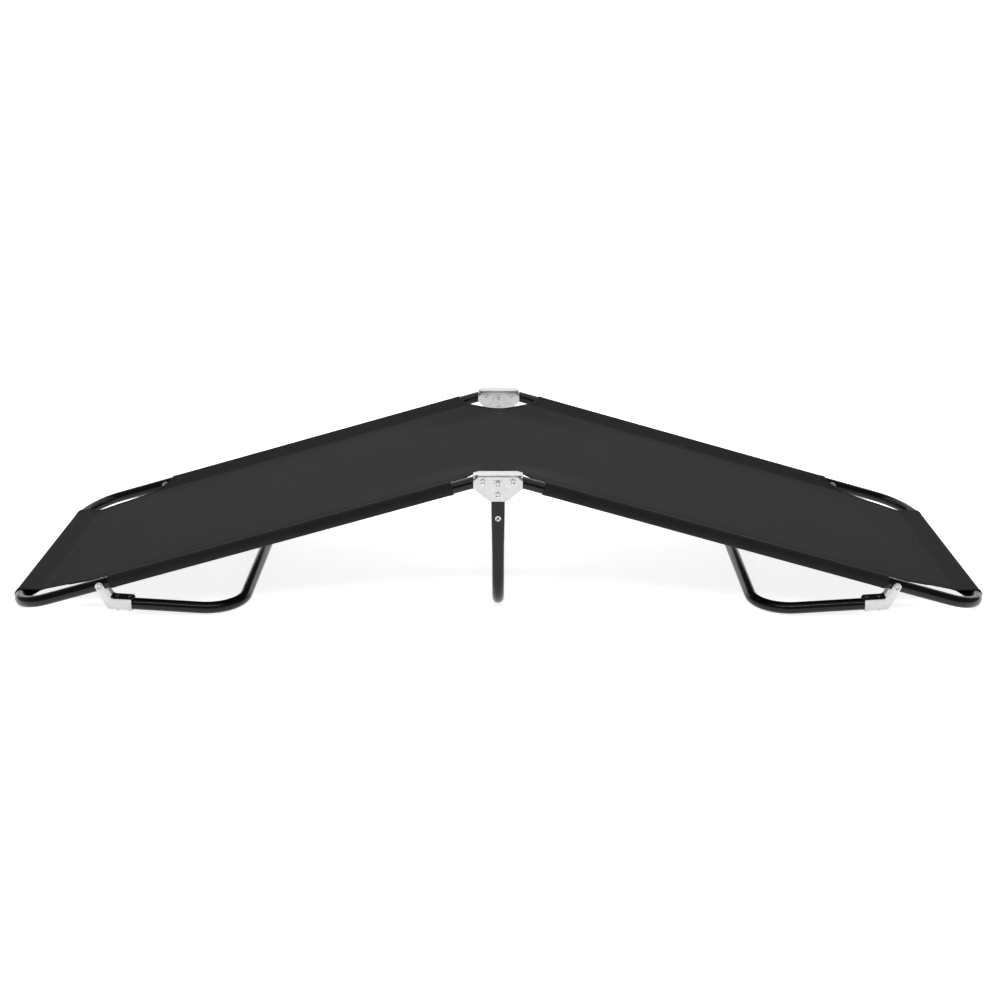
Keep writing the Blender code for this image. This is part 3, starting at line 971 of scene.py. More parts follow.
@dataclass
class HingeBracket:
    """A pressed channel over the ends of two rails, open below, with slanted cheeks."""

    layout: Layout
    sheet: float = 0.0015
    half_length: float = 0.044
    cheek_y: float = 0.01225
    web_z: float = 0.01225
    cheek_bottom: float = -0.038
    cheek_shoulder: float = -0.013
    foot_half: float = 0.016
    fold_r: float = 0.0030
    end_fold_r: float = 0.0112
    round_from: float = 0.0335
    pinch_depth: float = 0.0028
    pinch_rise: tuple[float, float] = (0.008, 0.024)
    pinch_outer: tuple[float, float] = (0.016, 0.030)
    pinch_inner: tuple[float, float] = (0.007, 0.014)
    pinch_top: float = 0.006
    grid: tuple[int, int] = (88, 124)
    edge: float = 0.25 * MM
    leg_depth: float = 0.0154
    upper_z: float = -0.006
    lower_z: float = -0.026
    stay_z: float = -0.071

    def _press(self, x: float, across: float) -> Vector:
        """Where the press takes a point of the flat blank.

        Args:
            x: The point's place along the bracket.
            across: Its place across, 0 on the web's middle line.

        Returns:
            Its place on the pressed channel's middle surface.
        """
        grown = float(smooth_step(abs(x), self.round_from, self.half_length - MM))
        fold = self.fold_r + (self.end_fold_r - self.fold_r) * grown
        side = math.copysign(1, across)
        reach = abs(across)
        flat = self.cheek_y - fold
        arc = fold * math.pi / 2
        if reach <= flat:
            return Vector((x, side * reach, self.web_z))
        if reach <= flat + arc:
            turn = (reach - flat) / fold
            y = flat + fold * math.sin(turn)
            return Vector((x, side * y, self.web_z - fold + fold * math.cos(turn)))
        z = self.web_z - fold - (reach - flat - arc)
        return Vector((x, side * (self.cheek_y - self._inset(x, z)), z))

    def _inset(self, x: float, z: float) -> float:
        """How far the cheek is pinched in towards the centre leg at a point.

        Args:
            x: The point's place along the bracket.
            z: Its height from the rails' rivets.

        Returns:
            The depth of the pinch there.
        """
        low = float(smooth_step(-z, *self.pinch_rise))
        outer, inner = (
            top + (foot - top) * low for top, foot in (self.pinch_outer, self.pinch_inner)
        )
        across = float(smooth_step(-abs(x), -outer, -inner))
        down = float(smooth_step(-z, -self.pinch_top, 0.0))
        return self.pinch_depth * across * down

    def pattern(self) -> bpy.types.Object:
        """Cut the blank, press it over and trim its cheeks.

        Returns:
            The bracket about the midpoint between its two rail rivets.
        """
        deep = self.web_z - self.cheek_bottom + self.cheek_y
        Bench.clear_selection()
        bpy.ops.mesh.primitive_grid_add(
            x_subdivisions=self.grid[0], y_subdivisions=self.grid[1], size=2
        )
        bracket = bpy.context.object
        bracket.name = "hinge_bracket_pattern"
        for vert in bracket.data.vertices:
            vert.co = self._press(vert.co.x * self.half_length, vert.co.y * deep)
        Bench.edit(bracket)
        run = self.half_length - self.foot_half
        rise = self.cheek_shoulder - self.cheek_bottom
        cuts = [(Vector((0, 0, self.cheek_bottom)), Vector((0, 0, -1)))]
        for side in (-1, 1):
            corner = Vector((side * self.half_length, 0, self.cheek_shoulder))
            cuts.append((corner, Vector((side * rise, 0, -run)).normalized()))
        for spot, normal in cuts:
            bpy.ops.mesh.select_all(action="SELECT")
            bpy.ops.mesh.bisect(plane_co=spot, plane_no=normal, clear_outer=True)
        Bench.close()
        if sum(face.normal.z for face in bracket.data.polygons) < 0:
            bracket.data.flip_normals()
        Bench.thicken(bracket, self.sheet)
        Bench.round_edges(bracket, self.edge)
        Bench.smooth(bracket, 30)
        return bracket

    def build(self, finishes: Finishes) -> None:
        """Build both brackets with the rivets in them and on the centre leg.

        Args:
            finishes: The cot's finishes.
        """
        size = self.layout
        bracket = self.pattern()
        full = 2 * self.cheek_y + self.sheet
        headed = Rivet(shank_r=0.003, head_r=0.0053, rim=0.0014, dish=0.0012, bore_r=0.0026)
        wide = headed.pattern("wide", full)
        pinch = headed.pattern("pinch", full - 2 * self.pinch_depth)
        hollow = Rivet(shank_r=0.003, head_r=0.0053, rim=0.0016, dish=0.0013, bore_r=0.0019)
        hollow = hollow.pattern("hollow", self.leg_depth)
        for place in Place:
            mid = Vector((0, place.value * size.rail_y, size.hinge.z))
            out = place.value * Y_AXIS
            label = place.label
            piece = Bench.copy(bracket, f"hinge_channel_{label}", Matrix.Translation(mid))
            fit(piece, "centre", finishes.sheet_steel, f"hinge_bracket_{label}")
            spots = [
                (wide, f"hinge_rivet_left_{label}", -size.hinge.x * X_AXIS),
                (wide, f"hinge_rivet_right_{label}", size.hinge.x * X_AXIS),
                (pinch, f"leg_rivet_upper_{label}", self.upper_z * Z_AXIS),
                (pinch, f"leg_rivet_lower_{label}", self.lower_z * Z_AXIS),
                (hollow, f"stay_rivet_{label}", self.stay_z * Z_AXIS),
            ]
            for pattern, node, offset in spots:
                rivet = Bench.copy(pattern, f"set_{node}", along(out, mid + offset))
                fit(rivet, "centre", finishes.rivet, node)
        for pattern in (bracket, wide, pinch, hollow):
            Bench.discard(pattern)


# --- end legs ----------------------------------------------------------------------------


@dataclass
class EndLegs:
    """The two end legs: a bent tube, and at each side a bracket, a strip and rivets."""

    layout: Layout
    stations: tuple[float, ...] = (0.018, 0.09)
    drop: float = 0.035
    foot: float = 0.255
    sheet: float = 0.0015
    cheek_y: float = 0.01225
    arm_angle: float = math.radians(61)
    arm_half: float = 0.00775
    bracket_end: float = 0.058
    cheek_top: float = -0.022
    clip: float = 0.0025
    fillet: float = 0.009
    edge: float = 0.3 * MM
    heel_ease: float = 0.25
    strip: tuple[float, float] = (0.018, 0.062)
    strip_half: float = 0.0095
    strip_thick: float = 0.002
    strip_ring: float = 1.2 * MM
    strip_crown: float = 0.3 * MM
    strip_edge: float = 0.35 * MM
    strip_gap: float = 0.3 * MM
    strip_steps: int = 16
    rivets: tuple[float, float] = (0.030, 0.052)

    def _arm_outline(self) -> list[Vector]:
        """One cheek with its arm, its edge along the tube's middle line first.

        Returns:
            The corners in the leg's x and z.
        """
        down = Vector((math.cos(self.arm_angle), 0, -math.sin(self.arm_angle)))
        square = Vector((math.sin(self.arm_angle), 0, math.cos(self.arm_angle)))
        near = self.arm_half * square
        corner = near + down * (near.z - self.cheek_top) / -down.z
        far = -near
        heel = far + down * (far.z + self.drop) / -down.z
        points = [heel, Vector((self.bracket_end, 0, -self.drop))]
        middle = Vector((self.bracket_end - self.clip, 0, self.cheek_top - self.clip))
        points += self._arc(middle, self.clip, 0, math.pi / 2, 4)
        begin = corner + self.fillet * X_AXIS
        end = corner - self.fillet * down
        points += interpolate_bezier(begin, corner, corner, end, 12)
        turn = math.pi / 2 - self.arm_angle
        return points + self._arc(Vector(), self.arm_half, turn, math.pi, 20)

    @staticmethod
    def _arc(
        middle: Vector, radius: float, start: float, sweep: float, steps: int
    ) -> list[Vector]:
        """Points on an arc in the leg's x and z.

        Args:
            middle: The arc's centre.
            radius: Its radius.
            start: The angle that it starts at, from x towards z.
            sweep: The angle that it covers.
            steps: How many steps it takes.

        Returns:
            One point more than the steps.
        """
        turns = [start + sweep * step / steps for step in range(steps + 1)]
        return [middle + radius * Vector((math.cos(t), 0, math.sin(t))) for t in turns]

    def bracket_pattern(self) -> bpy.types.Object:
        """Cut one cheek, copy it to the far side and wrap the sheet round the tube.

        Returns:
            The bracket about its pivot pin.
        """
        points = [point + self.cheek_y * Y_AXIS for point in self._arm_outline()]
        bracket = Bench.outline("leg_bracket_pattern", points)
        bpy.ops.mesh.duplicate_move(
            TRANSFORM_OT_translate={"value": (0, -2 * self.cheek_y, 0)}
        )
        Bench.pick(
            Element.EDGES, lambda at, _: at.y > 0 and abs(at.z + self.drop) < MM / 10
        )
        Bench.spin(-math.pi, 24, Vector((0, 0, -self.drop)), X_AXIS)
        Bench.close()
        # The wrap's edge follows the arms' slant, and eases off under the tube.
        slant = 1 / math.tan(self.arm_angle)
        for vert in bracket.data.vertices:
            depth = -self.drop - vert.co.z
            if depth > 0 and vert.co.x < self.strip[0]:
                vert.co.x += slant * depth * (1 - self.heel_ease * depth / self.cheek_y)
        Bench.thicken(bracket, self.sheet)
        Bench.round_edges(bracket, self.edge)
        Bench.smooth(bracket, 32)
        return bracket

    def strip_pattern(self) -> bpy.types.Object:
        """Mould the strip on top of the tube, square at the bracket and round outside.

        Returns:
            The strip, its underside at the origin's height.
        """
        start, end = self.strip
        half = self.strip_half
        points = [Vector((start, half, 0)), Vector((start, -half, 0))]
        for step in range(self.strip_steps + 1):
            turn = math.pi * (step / self.strip_steps - 0.5)
            x = end - half / 2 + half / 2 * math.cos(turn)
            points.append(Vector((x, half * math.sin(turn), 0)))
        strip = Bench.outline("strip_pattern", points)
        Bench.extrude(self.strip_thick * Z_AXIS)
        bpy.ops.mesh.inset(thickness=self.strip_ring)
        bpy.ops.transform.translate(value=(0, 0, -self.strip_crown))
        Bench.close()
        Bench.round_edges(strip, self.strip_edge, 3)
        Bench.smooth(strip, 40)
        return strip

    def build(self, finishes: Finishes) -> None:
        """Build both legs from one set of patterns.

        Args:
            finishes: The cot's finishes.
        """
        size = self.layout
        bender = BentTube(size, bar=self.foot, drop=self.drop)
        stops = [(x, size.tube_r, size.tube_r) for x in self.stations]
        tube = bender.draw("leg_pattern", stops)
        bender.wall(tube)
        top = size.tube_r - self.drop + self.strip_gap + self.strip_thick
        bottom = -self.drop - self.cheek_y - self.sheet / 2
        wide = 2 * self.cheek_y + self.sheet
        bracket = self.bracket_pattern()
        strip = self.strip_pattern()
        pivot = Rivet(shank_r=0.003, head_r=0.0053, rim=0.0014, dish=0.0019)
        pivot = pivot.pattern("pivot", wide)
        small = Rivet(shank_r=0.002, head_r=0.0038, rim=0.0012, dish=0.0003, tail_r=0.0034)
        small = small.pattern("small", top - bottom)
        for hand in Hand:
            axes = size.leg_axes(hand)
            body = f"{hand.label}_end_leg"
            piece = Bench.copy(tube, f"{hand.label}_leg", axes)
            fit(piece, body, finishes.enamel, f"{hand.label}_leg_tube")
            for side in (-1, 1):
                spot = side * size.rail_y * Y_AXIS
                place = Place.BACK if (axes @ spot).y > 0 else Place.FRONT
                ending = f"{hand.label}_{{}}_{place.label}"
                here = axes @ Matrix.Translation(spot)
                lift = here @ Matrix.Translation((0, 0, top - self.strip_thick))
                pin = axes @ along(side * Y_AXIS, spot)
                placed = [
                    (bracket, "leg_bracket", here, finishes.sheet_steel),
                    (strip, "leg_pad", lift, finishes.rubber),
                    (pivot, "leg_pivot", pin, finishes.rivet),
                ]
                for name, x in zip(("pad_rivet_inner", "pad_rivet_outer"), self.rivets):
                    offset = Matrix.Translation((x, 0, (top + bottom) / 2))
                    placed.append((small, name, here @ offset, finishes.rivet))
                for pattern, node, matrix, finish in placed:
                    node = ending.format(node)
                    piece = Bench.copy(pattern, f"set_{node}", matrix)
                    fit(piece, body, finish, node)
        for pattern in (tube, bracket, strip, pivot, small):
            Bench.discard(pattern)


# --- cloth -------------------------------------------------------------------------------


def running_length(path: np.ndarray) -> np.ndarray:
    """The length of a path up to each of its points.

    Args:
        path: Rows of points.

    Returns:
        One length for each row, from 0.
    """
    gaps = np.linalg.norm(np.diff(path, axis=0), axis=1)
    return np.concatenate([[0], np.cumsum(gaps)])


def pick_along(path: np.ndarray, run: np.ndarray, at: np.ndarray) -> np.ndarray:
    """Flat places at given lengths along a flat path.

    Args:
        path: Rows of flat places.
        run: The running length at each row.
        at: The lengths to find.

    Returns:
        Rows of flat places.
    """
    return np.column_stack([np.interp(at, run, path[:, axis]) for axis in (0, 1)])


@dataclass(frozen=True)
class Loop:
    """The cloth's way round a tube: up from its seam, over, back below it and sewn under.

    Its points are told by their distance from the tube's axis towards the bed's middle and
    their height above the axis, and found by the cloth's run from the seam.
    """

    seam: float = 0.040
    radius: float = 0.012
    tuck: float = 0.0010
    allowance: float = 0.010
    arc_points: int = 19
    slope_points: int = 7

    def points(self) -> np.ndarray:
        """The loop's corners, the last two of them on the part that is sewn under.

        Returns:
            Rows of run, distance and height.
        """
        lean = math.acos(self.radius / self.seam)
        turns = np.linspace(lean, 2 * math.pi - lean, self.arc_points)
        arc = self.radius * np.column_stack([np.cos(turns), np.sin(turns)])
        top = np.array([self.seam, 0.0])
        low = np.array([self.seam, -self.tuck])
        share = np.linspace(0, 1, self.slope_points)[:, None]
        under = low + np.array([[0.5 * self.allowance, 0], [self.allowance, 0]])
        up = top + (arc[0] - top) * share[:-1]
        down = arc[-1] + (low - arc[-1]) * share[1:]
        path = np.concatenate([up, arc, down, under])
        return np.column_stack([running_length(path), path])

    def at(self, run: np.ndarray) -> tuple[np.ndarray, np.ndarray]:
        """Find points on the loop.

        Args:
            run: The cloth's run from the seam.

        Returns:
            Distances towards the bed's middle, and heights.
        """
        points = self.points()
        return (
            np.interp(run, points[:, 0], points[:, 1]),
            np.interp(run, points[:, 0], points[:, 2]),
        )


@dataclass
class ClothShape:
    """The stretched cloth of one half: from flat places to places in space.

    A flat place is its run out along the bed from the hinge pins and its reach across from
    the middle line, both measured on the cloth. Between the seams the cloth lies in the
    rails' plane. Near the hinges it is free, and it sinks below that plane in a soft crest.
    """

    layout: Layout
    loop: Loop
    phase: float
    cut_half: float = 0.083
    cut_depth: float = 0.076
    cut_power: float = 1.5
    corner: tuple[tuple[float, float], ...] = (
        (0.199, 0.0), (0.202, 0.034), (0.125, 0.045), (0.0, 0.071)
    )
    crest_z: float = 0.2622
    crest_fall: float = 0.225
    crest_soft: float = 0.020
    crest_blend: float = 1.5 * MM
    crest_side: float = 0.10
    crest_out: float = 0.07
    stitch_rows: tuple[float, float] = (0.0014, 0.0085)
    stitch_sink: float = 0.25 * MM
    stitch_width: float = 1.5 * MM
    pucker: float = 0.22 * MM
    pucker_reach: float = 0.012
    side_ripple: tuple[float, float, float] = (350, 2.2, 43)
    end_ripple: tuple[float, float, float] = (330, 2.4, 39)
    round_tube: tuple[float, float] = (0.01, 0.035)
    swell: float = 0.7 * MM
    swell_reach: float = 0.07
    swell_waves: tuple[float, float, float, float] = (11, 13, 23, 9)
    swell_shift: float = 1.1
    second_swell: float = 0.6
    relief_from: tuple[float, float] = (0.02, 0.10)
    fine: float = 1.6 * MM
    seam_rows: int = 9
    cut_rows: int = 12
    wide_rows: int = 24
    corner_skip: int = 4
    edge_columns: int = 8
    wide_columns: int = 118
    crowding: float = 0.07
    hem_step: float = 1.9 * MM

    def __post_init__(self) -> None:
        """Work out where the seams run and how the corner is cut."""
        self.seam_y = self.layout.rail_y - self.loop.seam
        self.seam_x = self.layout.rail_length - self.loop.seam
        handles = [Vector((*point, 0)) for point in self.corner]
        cut = np.array(interpolate_bezier(*handles, 80))
        self.cut_run = self.layout.rail_length - cut[:, 0]
        self.cut_inset = cut[:, 1]

    def inset(self, reach: np.ndarray) -> np.ndarray:
        """How far inside the rail's line a place lies once the cloth is folded round."""
        toward, _ = self.loop.at(np.maximum(reach - self.seam_y, 0))
        folded = np.where(reach > self.seam_y, toward, self.layout.rail_y - reach)
        return np.maximum(folded, 0)

    def start(self, reach: np.ndarray) -> np.ndarray:
        """Where the cloth begins: on the middle of the cot, or on the cut by the hinge."""
        share = np.clip(self.inset(reach) / self.cut_depth, 0, 1)
        x = self.cut_half * (1 - share**self.cut_power) ** (1 / self.cut_power)
        return (x - self.layout.hinge.x) / math.cos(self.layout.slope)

    def end(self, reach: np.ndarray) -> np.ndarray:
        """Where the cloth ends: on the end seam, or on the cut across the corner."""
        run = np.interp(self.inset(reach), self.cut_inset, self.cut_run)
        return np.minimum(run, self.seam_x)

    def _seam_distance(self, along: np.ndarray, edge: float) -> np.ndarray:
        """The distance from a seam, or from the same seam met again on the way back."""
        # The loop comes back to its seam two points before its end.
        back = edge + self.loop.points()[-3, 0]
        return np.minimum(np.abs(along - edge), np.abs(along - back))

    def _crest(self, x: np.ndarray, reach: np.ndarray) -> np.ndarray:
        """How far the cloth sinks below the rails' plane near the hinges."""
        size = self.layout
        plane = size.hinge.z - (x - size.hinge.x) * math.tan(size.slope)
        free = self.crest_z - self.crest_fall * np.sqrt(x**2 + self.crest_soft**2)
        low = (plane + free) / 2 - np.sqrt(((plane - free) / 2) ** 2 + self.crest_blend**2)
        held = 1 - smooth_step(self.seam_y - reach, 0, self.crest_side)
        held = held * smooth_step(x, 0, self.crest_out)
        return (plane - low) * (1 - held)

    def _puckers(
        self, place: np.ndarray, distance: np.ndarray, ripple: tuple[float, float, float],
        shift: np.ndarray | float = 0.0,
    ) -> np.ndarray:
        """Uneven ripples along a seam, which fade away from it.

        Args:
            place: The place along the seam.
            distance: The distance from it.
            ripple: The ripples' rate, how far they are shifted and the shift's own rate.
            shift: What is added to their phase.

        Returns:
            The puckers' heights.
        """
        rate, sway, slow = ripple
        wave = np.sin(place * rate + sway * np.sin(place * slow + self.phase) + shift)
        return self.pucker * wave * np.exp(-distance / self.pucker_reach)

    def _relief(self, run: np.ndarray, across: np.ndarray, x: np.ndarray) -> np.ndarray:
        """Small height changes: puckers at seams, sunk stitch rows and a faint swell."""
        side = self._seam_distance(np.abs(across), self.seam_y)
        end = self._seam_distance(run, self.seam_x)
        relief = self._puckers(run, side, self.side_ripple, np.sign(across))
        relief += self._puckers(across, end, self.end_ripple)
        inboard = (self.seam_y - np.abs(across), self.seam_x - run)
        for row in self.stitch_rows:
            for depth in inboard:
                relief -= self.stitch_sink * np.exp(-(((depth - row) / self.stitch_width) ** 2))
        round_side = smooth_step(np.abs(across) - self.seam_y, *self.round_tube)
        round_end = smooth_step(run - self.seam_x, *self.round_tube)
        relief *= (1 - round_side) * (1 - round_end)
        free = smooth_step(side, 0, self.swell_reach) * smooth_step(end, 0, self.swell_reach)
        out, over, slant_out, slant_over = self.swell_waves
        drift = np.sin(run * out + self.phase)
        drift = drift * np.sin(across * over + self.swell_shift + self.phase)
        slanted = np.sin(run * slant_out - across * slant_over + 2 * self.phase)
        drift += self.second_swell * slanted
        inside = (np.abs(across) < self.seam_y) & (run < self.seam_x)
        relief += self.swell * drift * free * inside
        return relief * smooth_step(x, *self.relief_from)

    def point(self, run: np.ndarray, across: np.ndarray) -> np.ndarray:
        """Find flat places in space, on the right half.

        Args:
            run: Their runs out from the hinge pins.
            across: Their reach across, below zero in front.

        Returns:
            Rows of x, y and z.
        """
        size = self.layout
        reach = np.abs(across)
        side_in, side_up = self.loop.at(np.maximum(reach - self.seam_y, 0))
        end_in, end_up = self.loop.at(np.maximum(run - self.seam_x, 0))
        y = np.where(reach > self.seam_y, size.rail_y - side_in, reach) * np.sign(across)
        out = np.where(run > self.seam_x, size.rail_length - end_in, run)
        x = size.hinge.x + out * math.cos(size.slope)
        up = side_up + end_up + self._relief(run, across, x)
        crest = self._crest(x, np.minimum(reach, self.seam_y))
        z = size.hinge.z - out * math.sin(size.slope) + up * math.cos(size.slope) - crest
        return np.stack([x + up * math.sin(size.slope), y, z], axis=-1)

    def frames(self, run: np.ndarray, across: np.ndarray) -> tuple[np.ndarray, ...]:
        """Places in space with the directions of run, reach and outwards there.

        Args:
            run: Their runs out from the hinge pins.
            across: Their reach across.

        Returns:
            Points, run directions, reach directions and normals.
        """
        step = 0.3 * MM
        out = self.point(run + step, across) - self.point(run - step, across)
        over = self.point(run, across + step) - self.point(run, across - step)
        out /= np.linalg.norm(out, axis=-1, keepdims=True)
        over /= np.linalg.norm(over, axis=-1, keepdims=True)
        normal = np.cross(out, over)
        normal /= np.linalg.norm(normal, axis=-1, keepdims=True)
        return self.point(run, across), out, over, normal

    def rows(self) -> tuple[np.ndarray, float]:
        """The reaches of the mesh's rows on one side, and of those on the end loop.

        Returns:
            Reaches out to the side seam, with the loop's after them, and the last reach
            that meets the end seam.
        """
        size = self.layout
        turn = np.linspace(math.asin(self.loop.seam / self.cut_depth), math.pi / 2, self.cut_rows)
        last = size.rail_y - np.interp(self.seam_x, self.cut_run, self.cut_inset)
        corner = size.rail_y - self.cut_inset[self.cut_inset > self.loop.seam][::self.corner_skip]
        flat = np.concatenate([
            np.linspace(0, size.rail_y - self.cut_depth, self.wide_rows),
            size.rail_y - self.cut_depth * np.sin(turn),
            corner,
            self.seam_y - self.fine * np.arange(self.seam_rows),
            [last],
        ])
        flat = np.unique(np.round(flat, 4))
        flat = flat[flat <= self.seam_y + 1e-9]
        reaches = np.concatenate([flat, self.seam_y + self.loop.points()[1:, 0]])
        return reaches, np.round(last, 4)

    def columns(self, reach: np.ndarray) -> np.ndarray:
        """The runs of the mesh's columns, closer together near both ends.

        Args:
            reach: The rows' reaches.

        Returns:
            One line of runs for each row.
        """
        count = self.edge_columns
        edge = self.fine * np.arange(count)
        even = np.linspace(0, 1, self.wide_columns)
        share = even - self.crowding * np.sin(2 * math.pi * even)
        share = np.concatenate([np.zeros(count), share, np.ones(count)])
        between = np.full(self.wide_columns, count * self.fine)
        fixed = np.concatenate([edge, between, (count + 1) * self.fine + edge])
        start = self.start(reach)[:, None]
        middle = self.end(reach)[:, None] - start - 2 * count * self.fine
        return start + fixed + middle * share

    def cut_paths(self) -> list[tuple[np.ndarray, np.ndarray]]:
        """The hemmed edges on one side, from under the sleeve to the middle or the end.

        Returns:
            For the hinge's cut and the corner's: flat places and inward directions.
        """
        reach, last = self.rows()
        hinge = reach[reach >= self.layout.rail_y - self.cut_depth][::-1]
        corner = reach[reach >= last][::-1]
        end_loop = self.seam_x + self.loop.points()[1:, 0]
        paths = [
            np.column_stack([self.start(hinge), hinge]),
            np.concatenate([
                np.column_stack([self.end(corner), corner]),
                np.column_stack([end_loop, np.full(len(end_loop), last)]),
            ]),
        ]
        found = []
        for path, sign in zip(paths, (1, -1)):
            run = running_length(path)
            even = np.linspace(0, run[-1], int(run[-1] / self.hem_step))
            path = pick_along(path, run, even)
            heading = np.gradient(path, axis=0)
            heading /= np.linalg.norm(heading, axis=1, keepdims=True)
            found.append((path, sign * np.column_stack([-heading[:, 1], heading[:, 0]])))
        # On the middle line the hem ends square, against the other half's.
        found[0][1][-1] = (0, -1)
        return found


@dataclass
class Cloth:
    """One half of the cloth, with its hems and stitches, mirrored for the left hand."""

    shape: ClothShape
    hand: Hand
    thick: float = 0.7 * MM
    hem_width: float = 9 * MM
    hem_half: float = 0.75 * MM
    pitch: float = 4.0 * MM
    hem_row: float = 0.72
    stitch_long: float = 1.45 * MM
    stitch_thin: float = 0.38 * MM
    stitch_proud: float = 0.1 * MM
    look_ahead: float = 0.2 * MM
    lowest_normal: float = -0.4
    bend_end: float = 0.074

    def _mesh(
        self, name: str, points: np.ndarray, faces: np.ndarray, flat: np.ndarray | None
    ) -> bpy.types.Object:
        """Make a piece of points and faces on this hand's side.

        Args:
            name: The piece's name.
            points: Its points on the right half.
            faces: Its faces, facing outwards there.
            flat: Flat places for the cloth's pattern, if it takes one.

        Returns:
            The piece.
        """
        if self.hand is Hand.LEFT:
            points = points * np.array([-1, 1, 1])
            faces = faces[:, ::-1]
        mesh = bpy.data.meshes.new(name)
        mesh.from_pydata(points.tolist(), [], faces.tolist())
        if flat is not None:
            corners = np.empty(len(mesh.loops), int)
            mesh.loops.foreach_get("vertex_index", corners)
            layer = mesh.uv_layers.new(name="cloth")
            layer.data.foreach_set("uv", flat[corners].ravel())
        piece = bpy.data.objects.new(name, mesh)
        bpy.context.collection.objects.link(piece)
        return piece

    @staticmethod
    def _quads(ids: np.ndarray) -> np.ndarray:
        """The faces of a grid of point numbers, facing out for rows across columns."""
        quads = np.stack([ids[:-1, :-1], ids[:-1, 1:], ids[1:, 1:], ids[1:, :-1]], axis=-1)
        return quads.reshape(-1, 4)

    def sheet(self) -> tuple[bpy.types.Object, float]:
        """The cloth itself.

        Returns:
            The piece and its flat area.
        """
        shape = self.shape
        reach, last = shape.rows()
        runs = shape.columns(reach)
        across = np.concatenate([-reach[:0:-1], reach])
        runs = np.concatenate([runs[:0:-1], runs])
        rows, columns = runs.shape
        flat = np.stack([runs, np.repeat(across[:, None], columns, axis=1)], axis=-1)
        ids = np.arange(rows * columns).reshape(rows, columns)
        held = np.flatnonzero(np.abs(across) <= last + 1e-9)
        beyond = shape.seam_x + shape.loop.points()[1:, 0]
        tail = np.stack(
            np.broadcast_arrays(beyond[None, :], across[held][:, None]), axis=-1
        )
        more = rows * columns + np.arange(tail[..., 0].size).reshape(tail.shape[:2])
        faces = np.concatenate([
            self._quads(ids),
            self._quads(np.concatenate([ids[held, -1:], more], axis=1)),
        ])
        flat = np.concatenate([flat.reshape(-1, 2), tail.reshape(-1, 2)])
        points = shape.point(flat[:, 0], flat[:, 1])
        piece = self._mesh(f"{self.hand.label}_cloth", points, faces, flat)
        corner = flat[faces]
        first, second = corner[:, 2] - corner[:, 0], corner[:, 3] - corner[:, 1]
        twice = first[:, 0] * second[:, 1] - first[:, 1] * second[:, 0]
        Bench.modify(piece, "SOLIDIFY", thickness=self.thick, offset=0)
        Bench.smooth(piece, 50)
        return piece, float(np.abs(twice).sum() / 2)

    def hems(self) -> bpy.types.Object:
        """The folded hems along the cuts and round the sleeves' mouths.

        Returns:
            The piece.
        """
        wide, half = self.hem_width, self.hem_half
        # One turn round the hem's section: its place inwards from the edge, then its height.
        upper = [
            (wide, 0.45 * half), (0.9 * wide, 0.9 * half), (0.5 * wide, half),
            (0.09 * wide, 0.95 * half), (-0.6 * half, 0.7 * half),
        ]
        lower = [(inward, -height) for inward, height in reversed(upper)]
        ring = np.array([*upper, (-1.1 * half, 0), *lower])
        points, faces, flats, count = [], [], [], 0
        for side in (-1, 1):
            for path, inward in self.shape.cut_paths():
                flat = path[:, None] + ring[None, :, :1] * inward[:, None]
                flat = flat * np.array([1, side])
                place, _, _, normal = self.shape.frames(flat[..., 0], flat[..., 1])
                place = place + normal * ring[None, :, 1:]
                ids = count + np.arange(place[..., 0].size).reshape(place.shape[:2])
                loop = np.concatenate([ids, ids[:, :1]], axis=1)
                faces.append(self._quads(loop))
                points.append(place.reshape(-1, 3))
                flats.append(flat.reshape(-1, 2))
                count += ids.size
        piece = self._mesh(
            f"{self.hand.label}_cloth_hems", np.concatenate(points), np.concatenate(faces),
            np.concatenate(flats),
        )
        Bench.edit(piece, Element.EDGES)
        bpy.ops.mesh.select_all(action="DESELECT")
        bpy.ops.mesh.select_non_manifold()
        bpy.ops.mesh.fill_holes(sides=0)
        Bench.close()
        Bench.smooth(piece, 50)
        return piece

    def _stitch_lines(self) -> list[tuple[np.ndarray, float]]:
        """Where the stitches run.

        Returns:
            For each line: flat places, and the height of the cloth's face there.
        """
        shape = self.shape
        face = self.thick / 2
        lines = []
        for side in (-1, 1):
            for row in shape.stitch_rows:
                reach = np.array([shape.seam_y - row])
                start = shape.start(reach)[0] + self.hem_width
                end = shape.end(reach)[0] - self.hem_width
                across = side * reach[0]
                lines.append((np.array([(start, across), (end, across)]), face))
            for path, inward in shape.cut_paths():
                line = (path + self.hem_row * self.hem_width * inward) * np.array([1, side])
                lines.append((line, self.hem_half))
        _, last = shape.rows()
        last -= self.hem_width
        for row in shape.stitch_rows:
            run = shape.seam_x - row
            lines.append((np.array([(run, -last), (run, last)]), face))
        return lines

    def stitches(self) -> bpy.types.Object:
        """Every stitch as a small bead of thread, sunk a little in the cloth.

        Returns:
            The piece.
        """
        Bench.clear_selection()
        bpy.ops.mesh.primitive_uv_sphere_add(segments=6, ring_count=4, radius=1)
        bead = bpy.context.object
        corners = np.array([vert.co for vert in bead.data.vertices])
